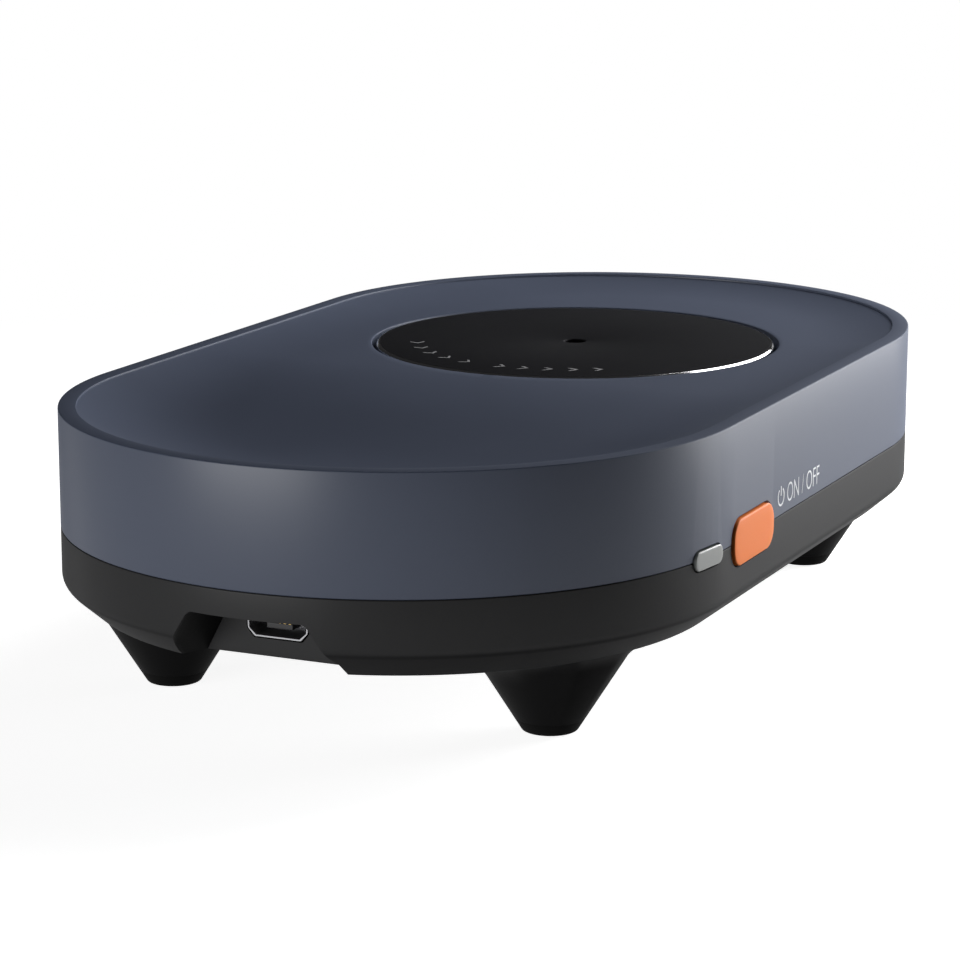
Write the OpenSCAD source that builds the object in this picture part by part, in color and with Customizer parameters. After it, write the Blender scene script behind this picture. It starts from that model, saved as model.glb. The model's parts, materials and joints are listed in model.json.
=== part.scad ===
// Mouse jiggler: a tray that a mouse rests in, over a slowly turning disc.
// Millimetres. Z is up from the table, X runs across the body to the button side,
// and Y runs along it from the cable end (-Y) to the disc end (+Y).

/* [Body] */
// Width of the body, which is also the diameter of its round ends
body_w = 80; // [79:0.5:84]
// Length of the body
body_l = 140; // [138:1:150]
// Height from the table to the underside
foot_h = 10.3; // [9:0.1:12]
// Height of the base housing, from the underside to the seam
base_h = 9.2; // [9:0.1:10]
// Height of the top housing, from the seam to the rim
top_h = 13.8; // [13.6:0.1:15]
// Thickness of both housings' side walls, and width of the rim
wall_t = 2.1; // [1.9:0.1:2.3]
// Thickness of the base housing's floor
floor_t = 1.8; // [1.6:0.1:1.9]
// Height of the chamfer round the base
chamfer_h = 3; // [2.4:0.1:3.4]
// How far the chamfer runs in under the base
chamfer_in = 3.45; // [2.8:0.05:4]

/* [Seam] */
// Height of the lip that the base housing pushes up inside the top housing
lip_h = 1.2; // [0.8:0.1:1.6]
// Thickness of that lip
lip_t = 1; // [0.8:0.1:1.1]
// Clearance of the lip all round
lip_gap = 0.1; // [0.05:0.05:0.2]

/* [Tray] */
// Height of the small upright step inside the rim
tray_step = 0.25; // [0.2:0.05:0.4]
// Depth of the tray round the disc, below the rim
tray_deck_d = 1.4; // [1.2:0.1:1.8]
// Depth of the tray at its deep end, below the rim
tray_bowl_d = 4.2; // [3.2:0.1:4.4]
// Thickness of the tray under its deepest point
tray_t = 2; // [1.6:0.1:2.2]
// Width of the curved edge beside the disc
cove_w = 11; // [8:0.5:12]
// Width of the curved edge at the deep end
bowl_cove_w = 20; // [14:1:26]
// Length over which the tray sinks from the disc to the deep end
ramp_l = 42; // [34:1:48]

/* [Turntable] */
// Distance of the turntable's axis from the middle of the body, towards +Y
disc_y = 20.5; // [19:0.5:22]
// Radius of the disc's flat top
disc_r = 25.25; // [24:0.25:26]
// Thickness of the disc
disc_t = 1.8; // [1.6:0.1:2]
// Width and height of the bright chamfer on the disc's edge
trim_w = 0.45; // [0.3:0.05:0.6]
// Gap between the disc's edge and the well
disc_gap = 0.6; // [0.4:0.05:0.8]
// Radius of the spindle and of the hole in the disc's centre
spindle_r = 1.4; // [1.2:0.1:1.5]
// How far the spindle's end lies below the top of the disc
spindle_sunk = 1; // [0.8:0.1:1.2]
// Clearance of a turning shaft in its bore
run_gap = 0.03; // [0.02:0.01:0.06]

/* [Gears] */
// Module of the gears
gear_m = 0.8; // [0.76:0.02:0.82]
// Teeth of the turntable's gear
gear_teeth = 44; // [40:1:46]
// Teeth of the motor's pinion
pinion_teeth = 14; // [14:1:16]
// Thickness of the turntable's gear
gear_t = 1.8; // [1.4:0.1:1.9]
// Play between the teeth, on each gear
backlash = 0.08; // [0.05:0.01:0.12]

/* [Motor] */
// Radius of the motor's gearhead
gearhead_r = 11; // [10:0.5:11]
// Height of the gearhead
gearhead_h = 3.5; // [3:0.1:4]
// Radius of the motor can
can_r = 10; // [8.5:0.5:10]
// Radius of the motor's output shaft
shaft_r = 1; // [0.8:0.1:1.2]
// Thickness of the frame that carries the motor and the spindle
frame_t = 1.6; // [1.4:0.1:1.8]

/* [Feet] */
// Distance of the feet's axes from the body's sides
foot_in_x = 16; // [15:0.5:18]
// Distance of the feet's axes from the body's ends
foot_in_y = 27; // [26:0.5:29]
// Radius of a foot where it meets the table
foot_tip_r = 3.1; // [3:0.1:3.5]
// How much a foot's radius grows for each millimetre of height
foot_flare = 0.625; // [0.5:0.025:0.65]
// Height of the rubber pad that ends a foot
pad_h = 1.5; // [1.2:0.1:2]
// Radius of the hollow blend between a foot and the underside
foot_blend_r = 3; // [2:0.5:4]

/* [Cable recess] */
// Depth of the recess, inwards from the end of the body
recess_d = 8; // [7.5:0.5:9]
// Height of the recess above the underside
recess_h = 6.2; // [5.9:0.1:6.5]
// Half width of the recess at its top, before its corners are rounded
recess_w = 6.9; // [6.5:0.1:7.2]
// Half width of its back wall
recess_back_w = 5.5; // [5.3:0.1:5.8]
// Half width of its mouth at the lowest point of the body's upright wall
recess_mouth_w = 9; // [8:0.1:9.4]

/* [USB socket] */
// Width of the micro-B shell, outside
usb_w = 7.4; // [7.4:0.1:7.6]
// Height of the micro-B shell, outside
usb_h = 2.35; // [2.3:0.05:2.4]
// Thickness of the shell's sheet metal
usb_t = 0.25; // [0.2:0.05:0.3]
// Length of the shell
usb_l = 5.3; // [5:0.1:5.6]

/* [Button and lens] */
// Distance of the power button's middle from where the round end starts
button_set = 7.9; // [7.7:0.1:8.6]
// Length of the power button
button_l = 13.2; // [12:0.1:13.6]
// Height of the power button
button_h = 5.4; // [5:0.1:5.8]
// Corner radius of the power button
button_r = 2.3; // [1.8:0.1:2.4]
// How far the power button stands out
button_out = 0.35; // [0.25:0.05:0.6]
// How far the power button travels when pressed
button_travel = 0.8; // [0.6:0.1:0.8]
// Gap round the power button and the lens
button_gap = 0.15; // [0.1:0.05:0.2]
// Length of the status lens
lens_l = 6.3; // [5.6:0.1:6.8]
// Height of the status lens
lens_h = 2.2; // [2.2:0.1:2.5]
// Angle of the status lens round the end of the body, from the body's side
lens_turn = 7.6; // [7.2:0.1:8.2]
// How far the status lens stands out
lens_out = 0.2; // [0.15:0.05:0.4]

/* [Electronics] */
// Thickness of the circuit board
board_t = 1.2; // [1:0.1:1.6]
// Half width of the board's main part
board_w = 18; // [17:0.5:18.5]
// Radius of the shank of all small screws
screw_r = 0.95; // [0.8:0.05:1]
// Radius of the head of all small screws
screw_head_r = 1.8; // [1.6:0.1:1.9]

/* [Hidden] */
$fn = 64;

// Levels, from the table up
underside_z = foot_h;
floor_z = underside_z + floor_t;
seam_z = underside_z + base_h;
rim_z = seam_z + top_h;
deck_z = rim_z - tray_deck_d;
roof_z = rim_z - tray_bowl_d - tray_t;

// Outline: two half circles joined by straight sides
end_r = body_w / 2;
end_y = body_l / 2 - end_r;
inner_r = end_r - wall_t;
hollow_in = 2.4;

// How far a cutting form runs past what it cuts, how far forms that join run into each other,
// and degrees in a radian
cut = 1;
sink = 0.5;
join = 0.1;
degrees = 180 / PI;

// Tray surface
tray_r = inner_r;
tray_power = 2.4;
tray_around = 96;
tray_rings = 12;

// Turntable
disc_edge_r = disc_r + trim_w;
well_r = disc_edge_r + disc_gap;
ramp_start_y = disc_y - well_r;
disc_z = deck_z - disc_t;
well_t = 1.5;
well_z = roof_z + well_t;
bush_r = 3;
bush_flange_r = 4.4;
bush_flange_t = 0.5;
lift_gap = 0.2;
hub_r = 5.5;
hub_z = well_z + bush_flange_t + lift_gap;

// Gears
pressure_angle = 25;
gear_addendum = gear_m;
gear_dedendum = 1.25 * gear_m;
gear_r = gear_m * gear_teeth / 2;
pinion_r = gear_m * pinion_teeth / 2;
motor_y = disc_y - gear_r - pinion_r;
gear_clear = 0.4;
gear_top_z = roof_z - gear_clear;
gear_z = gear_top_z - gear_t;
gear_hub_r = 4.5;
gear_hub_h = 0.4;
gear_hole_r = 3.2;
gear_hole_step = 60;
pinion_over = 0.2;
flank_steps = 5;

// Small screws
screw_gap = 0.05;
screw_head_h = 1.2;

// Gear frame and motor
frame_drop = 1.9;
frame_top_z = gear_z - frame_drop;
frame_z = frame_top_z - frame_t;
frame_boss_r = 3.5;
frame_boss_z = gear_z - gear_hub_h - lift_gap;
frame_boss_drop = 2.4;
frame_w = 17.5;
frame_post_r = 2.8;
frame_rim = 0.3;
frame_corner_r = frame_post_r + frame_rim;
frame_post_x = frame_w - frame_corner_r;
frame_rear_set = 8.5;
frame_rear_y = disc_y + frame_rear_set;
frame_front_set = 1.4;
frame_front_y = motor_y - gearhead_r - frame_front_set;
frame_screw_l = 7;
spindle_floor_t = 0.75;
spindle_seat_z = frame_z - frame_boss_drop + spindle_floor_t;
end_gap = 0.05;
can_lift = 0.4;
can_z = floor_z + can_lift;
end_cap_h = 1.2;
end_cap_in = 0.4;
gearhead_z = frame_z - gearhead_h;
gearhead_boss_r = 3;
gearhead_boss_h = 0.5;
gearhead_fit = 0.05;
shaft_floor_t = 0.4;
motor_screw_x = 7.6;
motor_screw_r = 0.75;
motor_hole_l = 2.7;
motor_screw_l = frame_t + motor_hole_l - sink;
motor_head_r = 1.45;
motor_head_h = 0.9;
terminal_x = 3;
terminal_in = 1.5;
terminal_w = 1.4;
terminal_t = 0.4;
terminal_out = 1.6;
terminal_h = 2;

// Feet, and the housing screws that go up through them
foot_x = end_r - foot_in_x;
foot_y = body_l / 2 - foot_in_y;
foot_fit_r = 2.3;
foot_sunk = 0.8;
foot_seat_z = underside_z - foot_sunk;
boss_r = 3.5;
boss_h = 3.9;
boss_z = floor_z + boss_h;
boss_screw_r = 1.2;
boss_hole_r = 1.45;
boss_head_r = 2.1;
boss_head_h = 1.6;
boss_end_t = 3.6;
boss_screw_top_z = roof_z - boss_end_t;
pad_edge_r = 0.5;
pad_plug_h = 2.4;
pad_fit = 0.05;

// Cable recess
recess_back_y = recess_d - body_l / 2;
recess_top_z = underside_z + recess_h;
recess_corner_r = 1.2;
recess_corner_steps = 6;
recess_wall_t = 1.8;
recess_flare = 0.6;
wall_foot_z = underside_z + chamfer_h;

// USB socket, hung under the board
usb_lift = 0.3;
usb_bottom_z = floor_z + usb_lift;
usb_top_z = usb_bottom_z + usb_h;
usb_out = 0.1;
usb_y = recess_back_y - usb_out;
usb_gap = 0.15;
usb_chamfer = 0.85;
usb_chamfer_h = 0.95;
tongue_w = 3.2;
tongue_t = 0.65;
tongue_z = usb_bottom_z + usb_h * 0.55;
tongue_set_back = 0.5;
contact_w = 0.3;
contact_l = 3.2;
contact_pitch = 0.62;
contact_t = 0.12;

// Place of the button along the body, which the board's arm follows
button_y = button_set - end_y;

// Circuit board
board_z = usb_top_z;
board_top_z = board_z + board_t;
board_gap = 0.2;
board_front_y = recess_back_y + recess_wall_t + board_gap;
board_set_back = 10.5;
board_rear_y = motor_y - gearhead_r - board_set_back;
board_arm_before = 16.8;
board_arm_after = 7.3;
board_arm_front_y = button_y - board_arm_before;
board_arm_rear_y = button_y + board_arm_after;
board_arm_in = 2.4;
board_arm_x = inner_r - board_arm_in;
board_screw_in = 3.2;
board_screw_set = 9;
board_screw_x = board_w - board_screw_in;
board_screw_front_y = board_front_y + board_screw_set;
board_screw_rear_y = board_rear_y - board_screw_in;
board_screw_l = 4.2;
board_hole_r = screw_r + board_gap;
board_post_r = 2.4;
thread_floor_t = 0.8;

// Power button and switch
button_drop = 0.1;
button_z = seam_z - button_drop;
opening_in = 4;
opening_l = 8;
button_bevel = 0.3;
flange_t = 1.1;
flange_over = 0.7;
flange_gap = 0.25;
button_face_x = end_r + button_out;
flange_x = inner_r - flange_gap - flange_t;
plunger_w = 2.6;
plunger_h = 2.2;
plunger_l = 5.2;
plunger_gap = 0.12;
switch_l = 8;
switch_w = 7.4;
switch_h = 5.6;
switch_gap = 0.5;
switch_slack = 0.2;
switch_x = flange_x - button_travel - switch_gap;

// Status lens and its lamp
lens_r = 0.95;
lens_bevel = 0.3;
lens_face_r = end_r + lens_out;
lens_flange_t = 0.9;
lens_flange_over = 0.5;
lens_gap = 0.45;
lens_flange_r = inner_r - lens_gap;
lens_stem_l = 2.2;
lens_stem_w = 3;
led_t = 1.2;
led_w = 2.8;
led_gap = 0.1;

// Board components
connector_w = 6;
connector_d = 5;
connector_h = 4.2;
connector_in = 3.4;
connector_y = board_rear_y - connector_in;
chip_w = 5;
chip_d = 4;
chip_h = 1.3;
chip_lift = 0.15;
chip_in = 15;
chip_y = board_rear_y - chip_in;
leg_pitch = 1.27;
leg_w = 0.42;
leg_out = 1;
leg_t = 0.25;
cap_r = 3.1;
cap_h = 7;
cap_x = 10;
lead_r = 0.45;
lead_gap = 0.1;
lead_x = 1.25;
lead_seat_l = 1;
lead_pull = 5;
lead_steps = 12;
lead_sides = 8;

// Colours
body_blue = "#565c6b";
base_black = "#26262a";
button_orange = "#ff8f4c";

// A stadium outline whose ends have radius r
module stadium_2d(r) {
    for (s = [-1, 1]) translate([0, s * end_y]) circle(r);
    square([2 * r, 2 * end_y], center = true);
}

// An upright prism on that outline
module stadium(r, h) {
    linear_extrude(height = h) stadium_2d(r);
}

// A prism whose outline widens from r1 to r2 over the height h
module stadium_taper(r1, r2, h) {
    for (s = [-1, 1]) translate([0, s * end_y, 0]) cylinder(h = h, r1 = r1, r2 = r2);
    rotate([90, 0, 0]) linear_extrude(height = 2 * end_y, center = true)
        polygon([[-r1, 0], [r1, 0], [r2, h], [-r2, h]]);
}

// A rectangle with round corners, centred
module round_rect(w, h, r) {
    for (x = [-1, 1], y = [-1, 1]) translate([x * (w / 2 - r), y * (h / 2 - r)]) circle(r, $fn = 32);
    square([w, h - 2 * r], center = true);
    square([w - 2 * r, h], center = true);
}

// A plate with round corners and a chamfer of b round its top face, centred on its own bottom face
module bevelled_plate(w, h, r, t, b) {
    linear_extrude(height = t - b) round_rect(w, h, r);
    translate([0, 0, t - b]) {
        for (x = [-1, 1], y = [-1, 1]) translate([x * (w / 2 - r), y * (h / 2 - r), 0])
            cylinder(h = b, r1 = r, r2 = r - b, $fn = 32);
        rotate([90, 0, 0]) linear_extrude(height = h - 2 * r, center = true)
            polygon([[-w / 2, 0], [w / 2, 0], [w / 2 - b, b], [b - w / 2, b]]);
        rotate([90, 0, 90]) linear_extrude(height = w - 2 * r, center = true)
            polygon([[-h / 2, 0], [h / 2, 0], [h / 2 - b, b], [b - h / 2, b]]);
    }
}

// Lays a plate drawn in XY against the +X side: its length along Y, its height along Z, its top facing +X
module on_side(x, y, z) {
    translate([x, y, z]) rotate([90, 0, 90]) children();
}

// Turns the children, drawn as on the +X side at y = 0, round the -Y end to the lens
module at_lens() {
    translate([0, -end_y, 0]) rotate([0, 0, -lens_turn]) children();
}

// Places one child over each foot
module at_feet() {
    for (x = [-foot_x, foot_x], y = [-foot_y, foot_y]) translate([x, y, 0]) children();
}

// A screw with its head's bearing face at z = 0 and its shank pointing down
module screw(r, l, head_r, head_h, slot = true) {
    translate([0, 0, -l]) cylinder(h = l, r = r, $fn = 32);
    difference() {
        cylinder(h = head_h, r = head_r, $fn = 32);
        if (slot) for (a = [0, 90]) rotate([0, 0, a])
            translate([0, 0, head_h]) cube([1.3 * head_r, 0.3 * head_r, head_h], center = true);
    }
}

// Height of the tray's surface at (x, y): a curved edge by the rim, and a floor that
// sinks from the disc towards the -Y end
function smooth(t) = let (u = min(max(t, 0), 1)) u * u * (3 - 2 * u);
function rim_distance(x, y) = tray_r - norm([x, max(abs(y) - end_y, 0)]);
function tray_depth(x, y) =
    let (k = smooth((ramp_start_y - y) / ramp_l),
         width = cove_w + (bowl_cove_w - cove_w) * k,
         depth = tray_deck_d + (tray_bowl_d - tray_deck_d) * k,
         s = min(rim_distance(x, y) / width, 1))
    tray_step + (depth - tray_step) * (1 - pow(1 - s, tray_power));

// Point number i of count round a stadium of radius r, by equal steps of its length
function stadium_point(r, i, count) =
    let (arc = PI * r, side = 2 * end_y, d = (i / count) * 2 * (arc + side))
    d < side ? [r, d - end_y] :
    d < side + arc ? let (a = (d - side) / r * degrees) [r * cos(a), end_y + r * sin(a)] :
    d < 2 * side + arc ? [-r, end_y - (d - side - arc)] :
    let (a = (d - 2 * side - arc) / r * degrees) [-r * cos(a), -r * sin(a) - end_y];

// What the tray takes out of the top housing: the space over its surface, from just past
// the rim's inner edge to just inside the well
module tray_cut() {
    edge_r = tray_r + sink;
    hole_r = well_r - cut;
    axis = [0, disc_y];
    top = rim_z + cut;
    points = [
        for (k = [0 : tray_rings], i = [0 : tray_around - 1])
            let (p = stadium_point(edge_r, i, tray_around),
                 q = axis + hole_r * (p - axis) / norm(p - axis),
                 v = pow(k / tray_rings, 1.5),
                 m = p + (q - p) * v)
            [m.x, m.y, rim_z - (k == 0 ? 0 : tray_depth(m.x, m.y))],
        for (i = [0 : tray_around - 1]) let (p = stadium_point(edge_r, i, tray_around)) [p.x, p.y, top],
        [axis.x, axis.y, deck_z],
        [axis.x, axis.y, top]
    ];
    top_ring = (tray_rings + 1) * tray_around;
    low_centre = top_ring + tray_around;
    faces = [
        for (k = [0 : tray_rings - 1], i = [0 : tray_around - 1])
            let (a = k * tray_around + i, b = k * tray_around + (i + 1) % tray_around,
                 c = b + tray_around, d = a + tray_around)
            for (f = [[a, b, c], [a, c, d]]) f,
        for (i = [0 : tray_around - 1])
            let (j = (i + 1) % tray_around, last = tray_rings * tray_around)
            for (f = [[last + i, last + j, low_centre], [top_ring + j, top_ring + i, low_centre + 1],
                      [i, top_ring + i, top_ring + j], [i, top_ring + j, j]]) f
    ];
    intersection() {
        polyhedron(points, faces);
        translate([0, 0, seam_z]) stadium(tray_r, top_h + 2 * cut);
    }
}

// The openings that the button and the lens share between both housings
module side_openings() {
    on_side(inner_r - opening_in, button_y, button_z)
        linear_extrude(height = opening_l)
            round_rect(button_l + 2 * button_gap, button_h + 2 * button_gap, button_r + button_gap);
    at_lens() on_side(inner_r - opening_in, 0, seam_z)
        linear_extrude(height = opening_l)
            round_rect(lens_l + 2 * button_gap, lens_h + 2 * button_gap, lens_r + button_gap);
}

module top_housing() {
    color(body_blue) difference() {
        union() {
            difference() {
                translate([0, 0, seam_z]) stadium(end_r, top_h);
                translate([0, 0, seam_z - cut]) stadium(inner_r, roof_z - seam_z + cut);
                translate([0, 0, seam_z - cut])
                    stadium(inner_r + lip_t + lip_gap, lip_h + lip_gap + cut);
            }
            at_feet() translate([0, 0, boss_z]) cylinder(h = roof_z - boss_z + cut, r = boss_r);
        }
        tray_cut();
        translate([0, disc_y, well_z]) cylinder(h = top_h, r = well_r);
        translate([0, disc_y, roof_z - cut]) cylinder(h = well_t + 2 * cut, r = bush_r);
        at_feet() translate([0, 0, boss_z - cut])
            cylinder(h = boss_screw_top_z + sink - boss_z + cut, r = boss_screw_r + screw_gap);
        side_openings();
    }
}

// The base housing's outer form, above the feet
module base_form() {
    translate([0, 0, underside_z]) stadium_taper(end_r - chamfer_in, end_r, chamfer_h);
    translate([0, 0, wall_foot_z]) stadium(end_r, seam_z - wall_foot_z);
}

// The base housing's hollow, which follows the chamfer
module base_hollow() {
    taper_h = hollow_in * chamfer_h / chamfer_in;
    translate([0, 0, floor_z]) stadium_taper(inner_r - hollow_in, inner_r, taper_h);
    translate([0, 0, floor_z + taper_h]) stadium(inner_r, base_h);
}

// One foot: a cone from the pad to the underside, blended into it
module foot_form() {
    top_r = foot_tip_r + foot_flare * underside_z;
    side = atan(1 / foot_flare);
    run = foot_blend_r * tan(side / 2);
    bow_x = top_r + run;
    translate([0, 0, pad_h]) cylinder(
        h = underside_z - pad_h + cut, r1 = foot_tip_r + foot_flare * pad_h,
        r2 = top_r + foot_flare * cut);
    rotate_extrude() difference() {
        polygon([
            [0, underside_z + sink], [bow_x, underside_z + sink], [bow_x, underside_z],
            [top_r - run * cos(side), underside_z - run * sin(side)],
            [0, underside_z - run * sin(side)]
        ]);
        translate([bow_x, underside_z - foot_blend_r]) circle(foot_blend_r, $fn = 48);
    }
}

// The cable recess: an arch that opens downwards, narrower at its back wall
module recess_cut() {
    low_z = underside_z - cut;
    spread = (recess_mouth_w - recess_w) / (recess_top_z - wall_foot_z);
    lean = atan(spread);
    low_w = recess_w + spread * (recess_top_z - low_z);
    corner = [recess_w - recess_corner_r / tan((90 + lean) / 2), recess_top_z - recess_corner_r];
    right = [
        for (k = [0 : recess_corner_steps]) let (a = lean + (90 - lean) * k / recess_corner_steps)
            corner + recess_corner_r * [cos(a), sin(a)]
    ];
    left = [for (k = [recess_corner_steps : -1 : 0]) [-right[k].x, right[k].y]];
    back = recess_back_y;
    mouth_y = -body_l / 2 - cut;
    mouth_w = low_w + recess_flare;
    intersection() {
        translate([0, back, 0]) rotate([90, 0, 0]) linear_extrude(height = back - mouth_y)
            polygon(concat([[-low_w, low_z], [low_w, low_z]], right, left));
        translate([0, 0, low_z]) linear_extrude(height = recess_top_z - low_z) polygon([
            [-recess_back_w, back], [recess_back_w, back], [mouth_w, mouth_y], [-mouth_w, mouth_y]
        ]);
    }
}

// Outline of the micro-B socket, grown by g: wide at the top, with its lower corners cut off
module usb_outline(g = 0) {
    half = usb_w / 2 + g;
    translate([0, usb_h / 2]) polygon([
        [-half, usb_h / 2 + g], [half, usb_h / 2 + g], [half, usb_chamfer_h - usb_h / 2],
        [half - usb_chamfer, -usb_h / 2 - g], [usb_chamfer - half, -usb_h / 2 - g],
        [-half, usb_chamfer_h - usb_h / 2]
    ]);
}

// Draws the children's outline in XZ and runs it from y towards +Y over l
module along_y(y, z, l) {
    translate([0, y + l, z]) rotate([90, 0, 0]) linear_extrude(height = l) children();
}

module base_housing() {
    wall_box_w = recess_mouth_w + recess_wall_t;
    color(base_black) difference() {
        union() {
            difference() {
                union() {
                    base_form();
                    translate([0, 0, seam_z - cut]) stadium(inner_r + lip_t, lip_h + cut);
                }
                base_hollow();
            }
            intersection() {
                base_form();
                translate([-wall_box_w, -body_l / 2, underside_z])
                    cube([2 * wall_box_w, recess_d + recess_wall_t, recess_h + recess_wall_t]);
            }
            intersection() {
                at_feet() foot_form();
                union() {
                    translate([0, 0, underside_z - foot_blend_r])
                        stadium(end_r - chamfer_in, foot_blend_r + sink);
                    at_feet() cylinder(h = underside_z + cut, r = foot_tip_r + foot_flare * underside_z);
                }
            }
            at_feet() translate([0, 0, underside_z]) cylinder(h = boss_z - underside_z, r = boss_r);
            at_frame_posts() translate([0, 0, floor_z - cut])
                cylinder(h = frame_z - floor_z + cut, r = frame_post_r);
            at_board_posts() translate([0, 0, floor_z - cut])
                cylinder(h = board_z - floor_z + cut, r = board_post_r);
        }
        at_feet() translate([0, 0, pad_h - cut]) cylinder(h = foot_seat_z - pad_h + cut, r = foot_fit_r);
        at_feet() cylinder(h = seam_z, r = boss_hole_r);
        at_frame_posts() translate([0, 0, frame_top_z - frame_screw_l - sink])
            cylinder(h = frame_screw_l + cut, r = screw_r + screw_gap);
        at_board_posts() translate([0, 0, underside_z + thread_floor_t])
            cylinder(h = base_h, r = screw_r + screw_gap);
        recess_cut();
        along_y(recess_back_y - cut, usb_bottom_z, recess_wall_t + 2 * cut) usb_outline(usb_gap);
        side_openings();
    }
}

// Places one child on each post of the gear frame
module at_frame_posts() {
    for (x = [-frame_post_x, frame_post_x], y = [frame_front_y, frame_rear_y])
        translate([x, y, 0]) children();
}

// Places one child on each post of the circuit board
module at_board_posts() {
    translate([-board_screw_x, board_screw_front_y, 0]) children();
    translate([board_screw_x, board_screw_front_y, 0]) children();
    translate([-board_screw_x, board_screw_rear_y, 0]) children();
}

// A rubber pad with a rounded lower edge and a plug that holds it in the foot
module foot_pad(x, y) {
    low_r = foot_tip_r - pad_edge_r;
    color("#1b1b1d") translate([foot_x * x, foot_y * y, 0]) {
        rotate_extrude() {
            square([low_r, pad_h]);
            translate([low_r, pad_edge_r]) intersection() {
                circle(pad_edge_r, $fn = 32);
                translate([-pad_edge_r, -pad_edge_r]) square([2 * pad_edge_r, pad_edge_r]);
            }
            polygon([
                [0, pad_edge_r], [foot_tip_r, pad_edge_r],
                [foot_tip_r + foot_flare * pad_h, pad_h], [0, pad_h]
            ]);
        }
        cylinder(h = pad_h + pad_plug_h, r = foot_fit_r - pad_fit);
    }
}

module housing_screw(x, y) {
    color("silver") translate([foot_x * x, foot_y * y, foot_seat_z]) mirror([0, 0, 1])
        screw(boss_screw_r, boss_screw_top_z - foot_seat_z, boss_head_r, boss_head_h);
}

module turntable_plate() {
    color("#1d1d20") translate([0, disc_y, disc_z]) difference() {
        cylinder(h = disc_t, r = disc_r);
        translate([0, 0, -cut]) cylinder(h = disc_t + 2 * cut, r = spindle_r);
    }
}

module turntable_trim() {
    color("gainsboro") translate([0, disc_y, disc_z]) rotate_extrude() polygon([
        [disc_r, 0], [disc_edge_r, 0], [disc_edge_r, disc_t - trim_w], [disc_r, disc_t]
    ]);
}

module turntable_hub() {
    color("dimgray") translate([0, disc_y, hub_z]) difference() {
        cylinder(h = disc_z - hub_z, r = hub_r);
        translate([0, 0, -cut]) cylinder(h = disc_z - hub_z + 2 * cut, r = spindle_r);
    }
}

module spindle() {
    low_z = spindle_seat_z + end_gap;
    color("silver") translate([0, disc_y, low_z])
        cylinder(h = deck_z - spindle_sunk - low_z, r = spindle_r);
}

module spindle_bush() {
    color("#b08d57") translate([0, disc_y, roof_z]) difference() {
        union() {
            cylinder(h = well_t, r = bush_r);
            translate([0, 0, well_t]) cylinder(h = bush_flange_t, r = bush_flange_r);
        }
        translate([0, 0, -cut]) cylinder(h = well_t + bush_flange_t + 2 * cut, r = spindle_r + run_gap);
    }
}

// Involute gear outline with a tooth pointing along +X
function involute(a) = tan(a) * degrees - a;
function tooth_half_angle(r, teeth) =
    let (pitch_r = gear_m * teeth / 2, base_r = pitch_r * cos(pressure_angle),
         at_pitch = 90 / teeth - backlash / 2 / pitch_r * degrees)
    at_pitch + involute(pressure_angle) - involute(acos(min(base_r / r, 1)));
function polar(r, a) = [r * cos(a), r * sin(a)];

module gear_outline(teeth) {
    pitch_r = gear_m * teeth / 2;
    base_r = pitch_r * cos(pressure_angle);
    tip_r = pitch_r + gear_addendum;
    root_r = pitch_r - gear_dedendum;
    flank_r = max(base_r, root_r);
    radii = [root_r, for (k = [0 : flank_steps]) flank_r + (tip_r - flank_r) * k / flank_steps];
    half = [for (r = radii) tooth_half_angle(r, teeth)];
    last = len(radii) - 1;
    polygon([
        for (i = [0 : teeth - 1]) let (turn = i * 360 / teeth)
            each concat(
                [for (k = [0 : last]) polar(radii[k], turn - half[k])],
                [for (k = [last : -1 : 0]) polar(radii[k], turn + half[k])]
            )
    ]);
}

module turntable_gear() {
    hole_ring_r = (gear_r - gear_dedendum + gear_hub_r) / 2;
    color("ivory") translate([0, disc_y, gear_z]) difference() {
        union() {
            rotate([0, 0, -90]) linear_extrude(height = gear_t) gear_outline(gear_teeth);
            translate([0, 0, -gear_hub_h]) cylinder(h = gear_hub_h, r = gear_hub_r);
        }
        translate([0, 0, -2 * cut]) cylinder(h = gear_t + 4 * cut, r = spindle_r);
        for (a = [0 : gear_hole_step : 359]) rotate([0, 0, a]) translate([hole_ring_r, 0, -cut])
            cylinder(h = gear_t + 2 * cut, r = gear_hole_r, $fn = 32);
    }
}

module gear_frame() {
    frame_l = frame_rear_y - frame_front_y + 2 * frame_corner_r;
    mid_y = (frame_rear_y + frame_front_y) / 2;
    color("darkslategray") difference() {
        union() {
            translate([0, mid_y, frame_z]) linear_extrude(height = frame_t)
                round_rect(2 * frame_w, frame_l, frame_corner_r);
            translate([0, disc_y, frame_z - frame_boss_drop])
                cylinder(h = frame_boss_z - frame_z + frame_boss_drop, r = frame_boss_r);
        }
        translate([0, disc_y, spindle_seat_z]) cylinder(h = frame_boss_z, r = spindle_r + run_gap);
        translate([0, motor_y, frame_z - cut]) cylinder(h = frame_t + 2 * cut, r = gearhead_boss_r);
        for (x = [-motor_screw_x, motor_screw_x]) translate([x, motor_y, frame_z - cut])
            cylinder(h = frame_t + 2 * cut, r = motor_screw_r + screw_gap, $fn = 32);
        at_frame_posts() translate([0, 0, frame_z - cut])
            cylinder(h = frame_t + 2 * cut, r = screw_r + screw_gap, $fn = 32);
    }
}

module frame_screw(x, y) {
    color("silver") translate([frame_post_x * x, y < 0 ? frame_front_y : frame_rear_y, frame_top_z])
        screw(screw_r, frame_screw_l, screw_head_r, screw_head_h);
}

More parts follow.
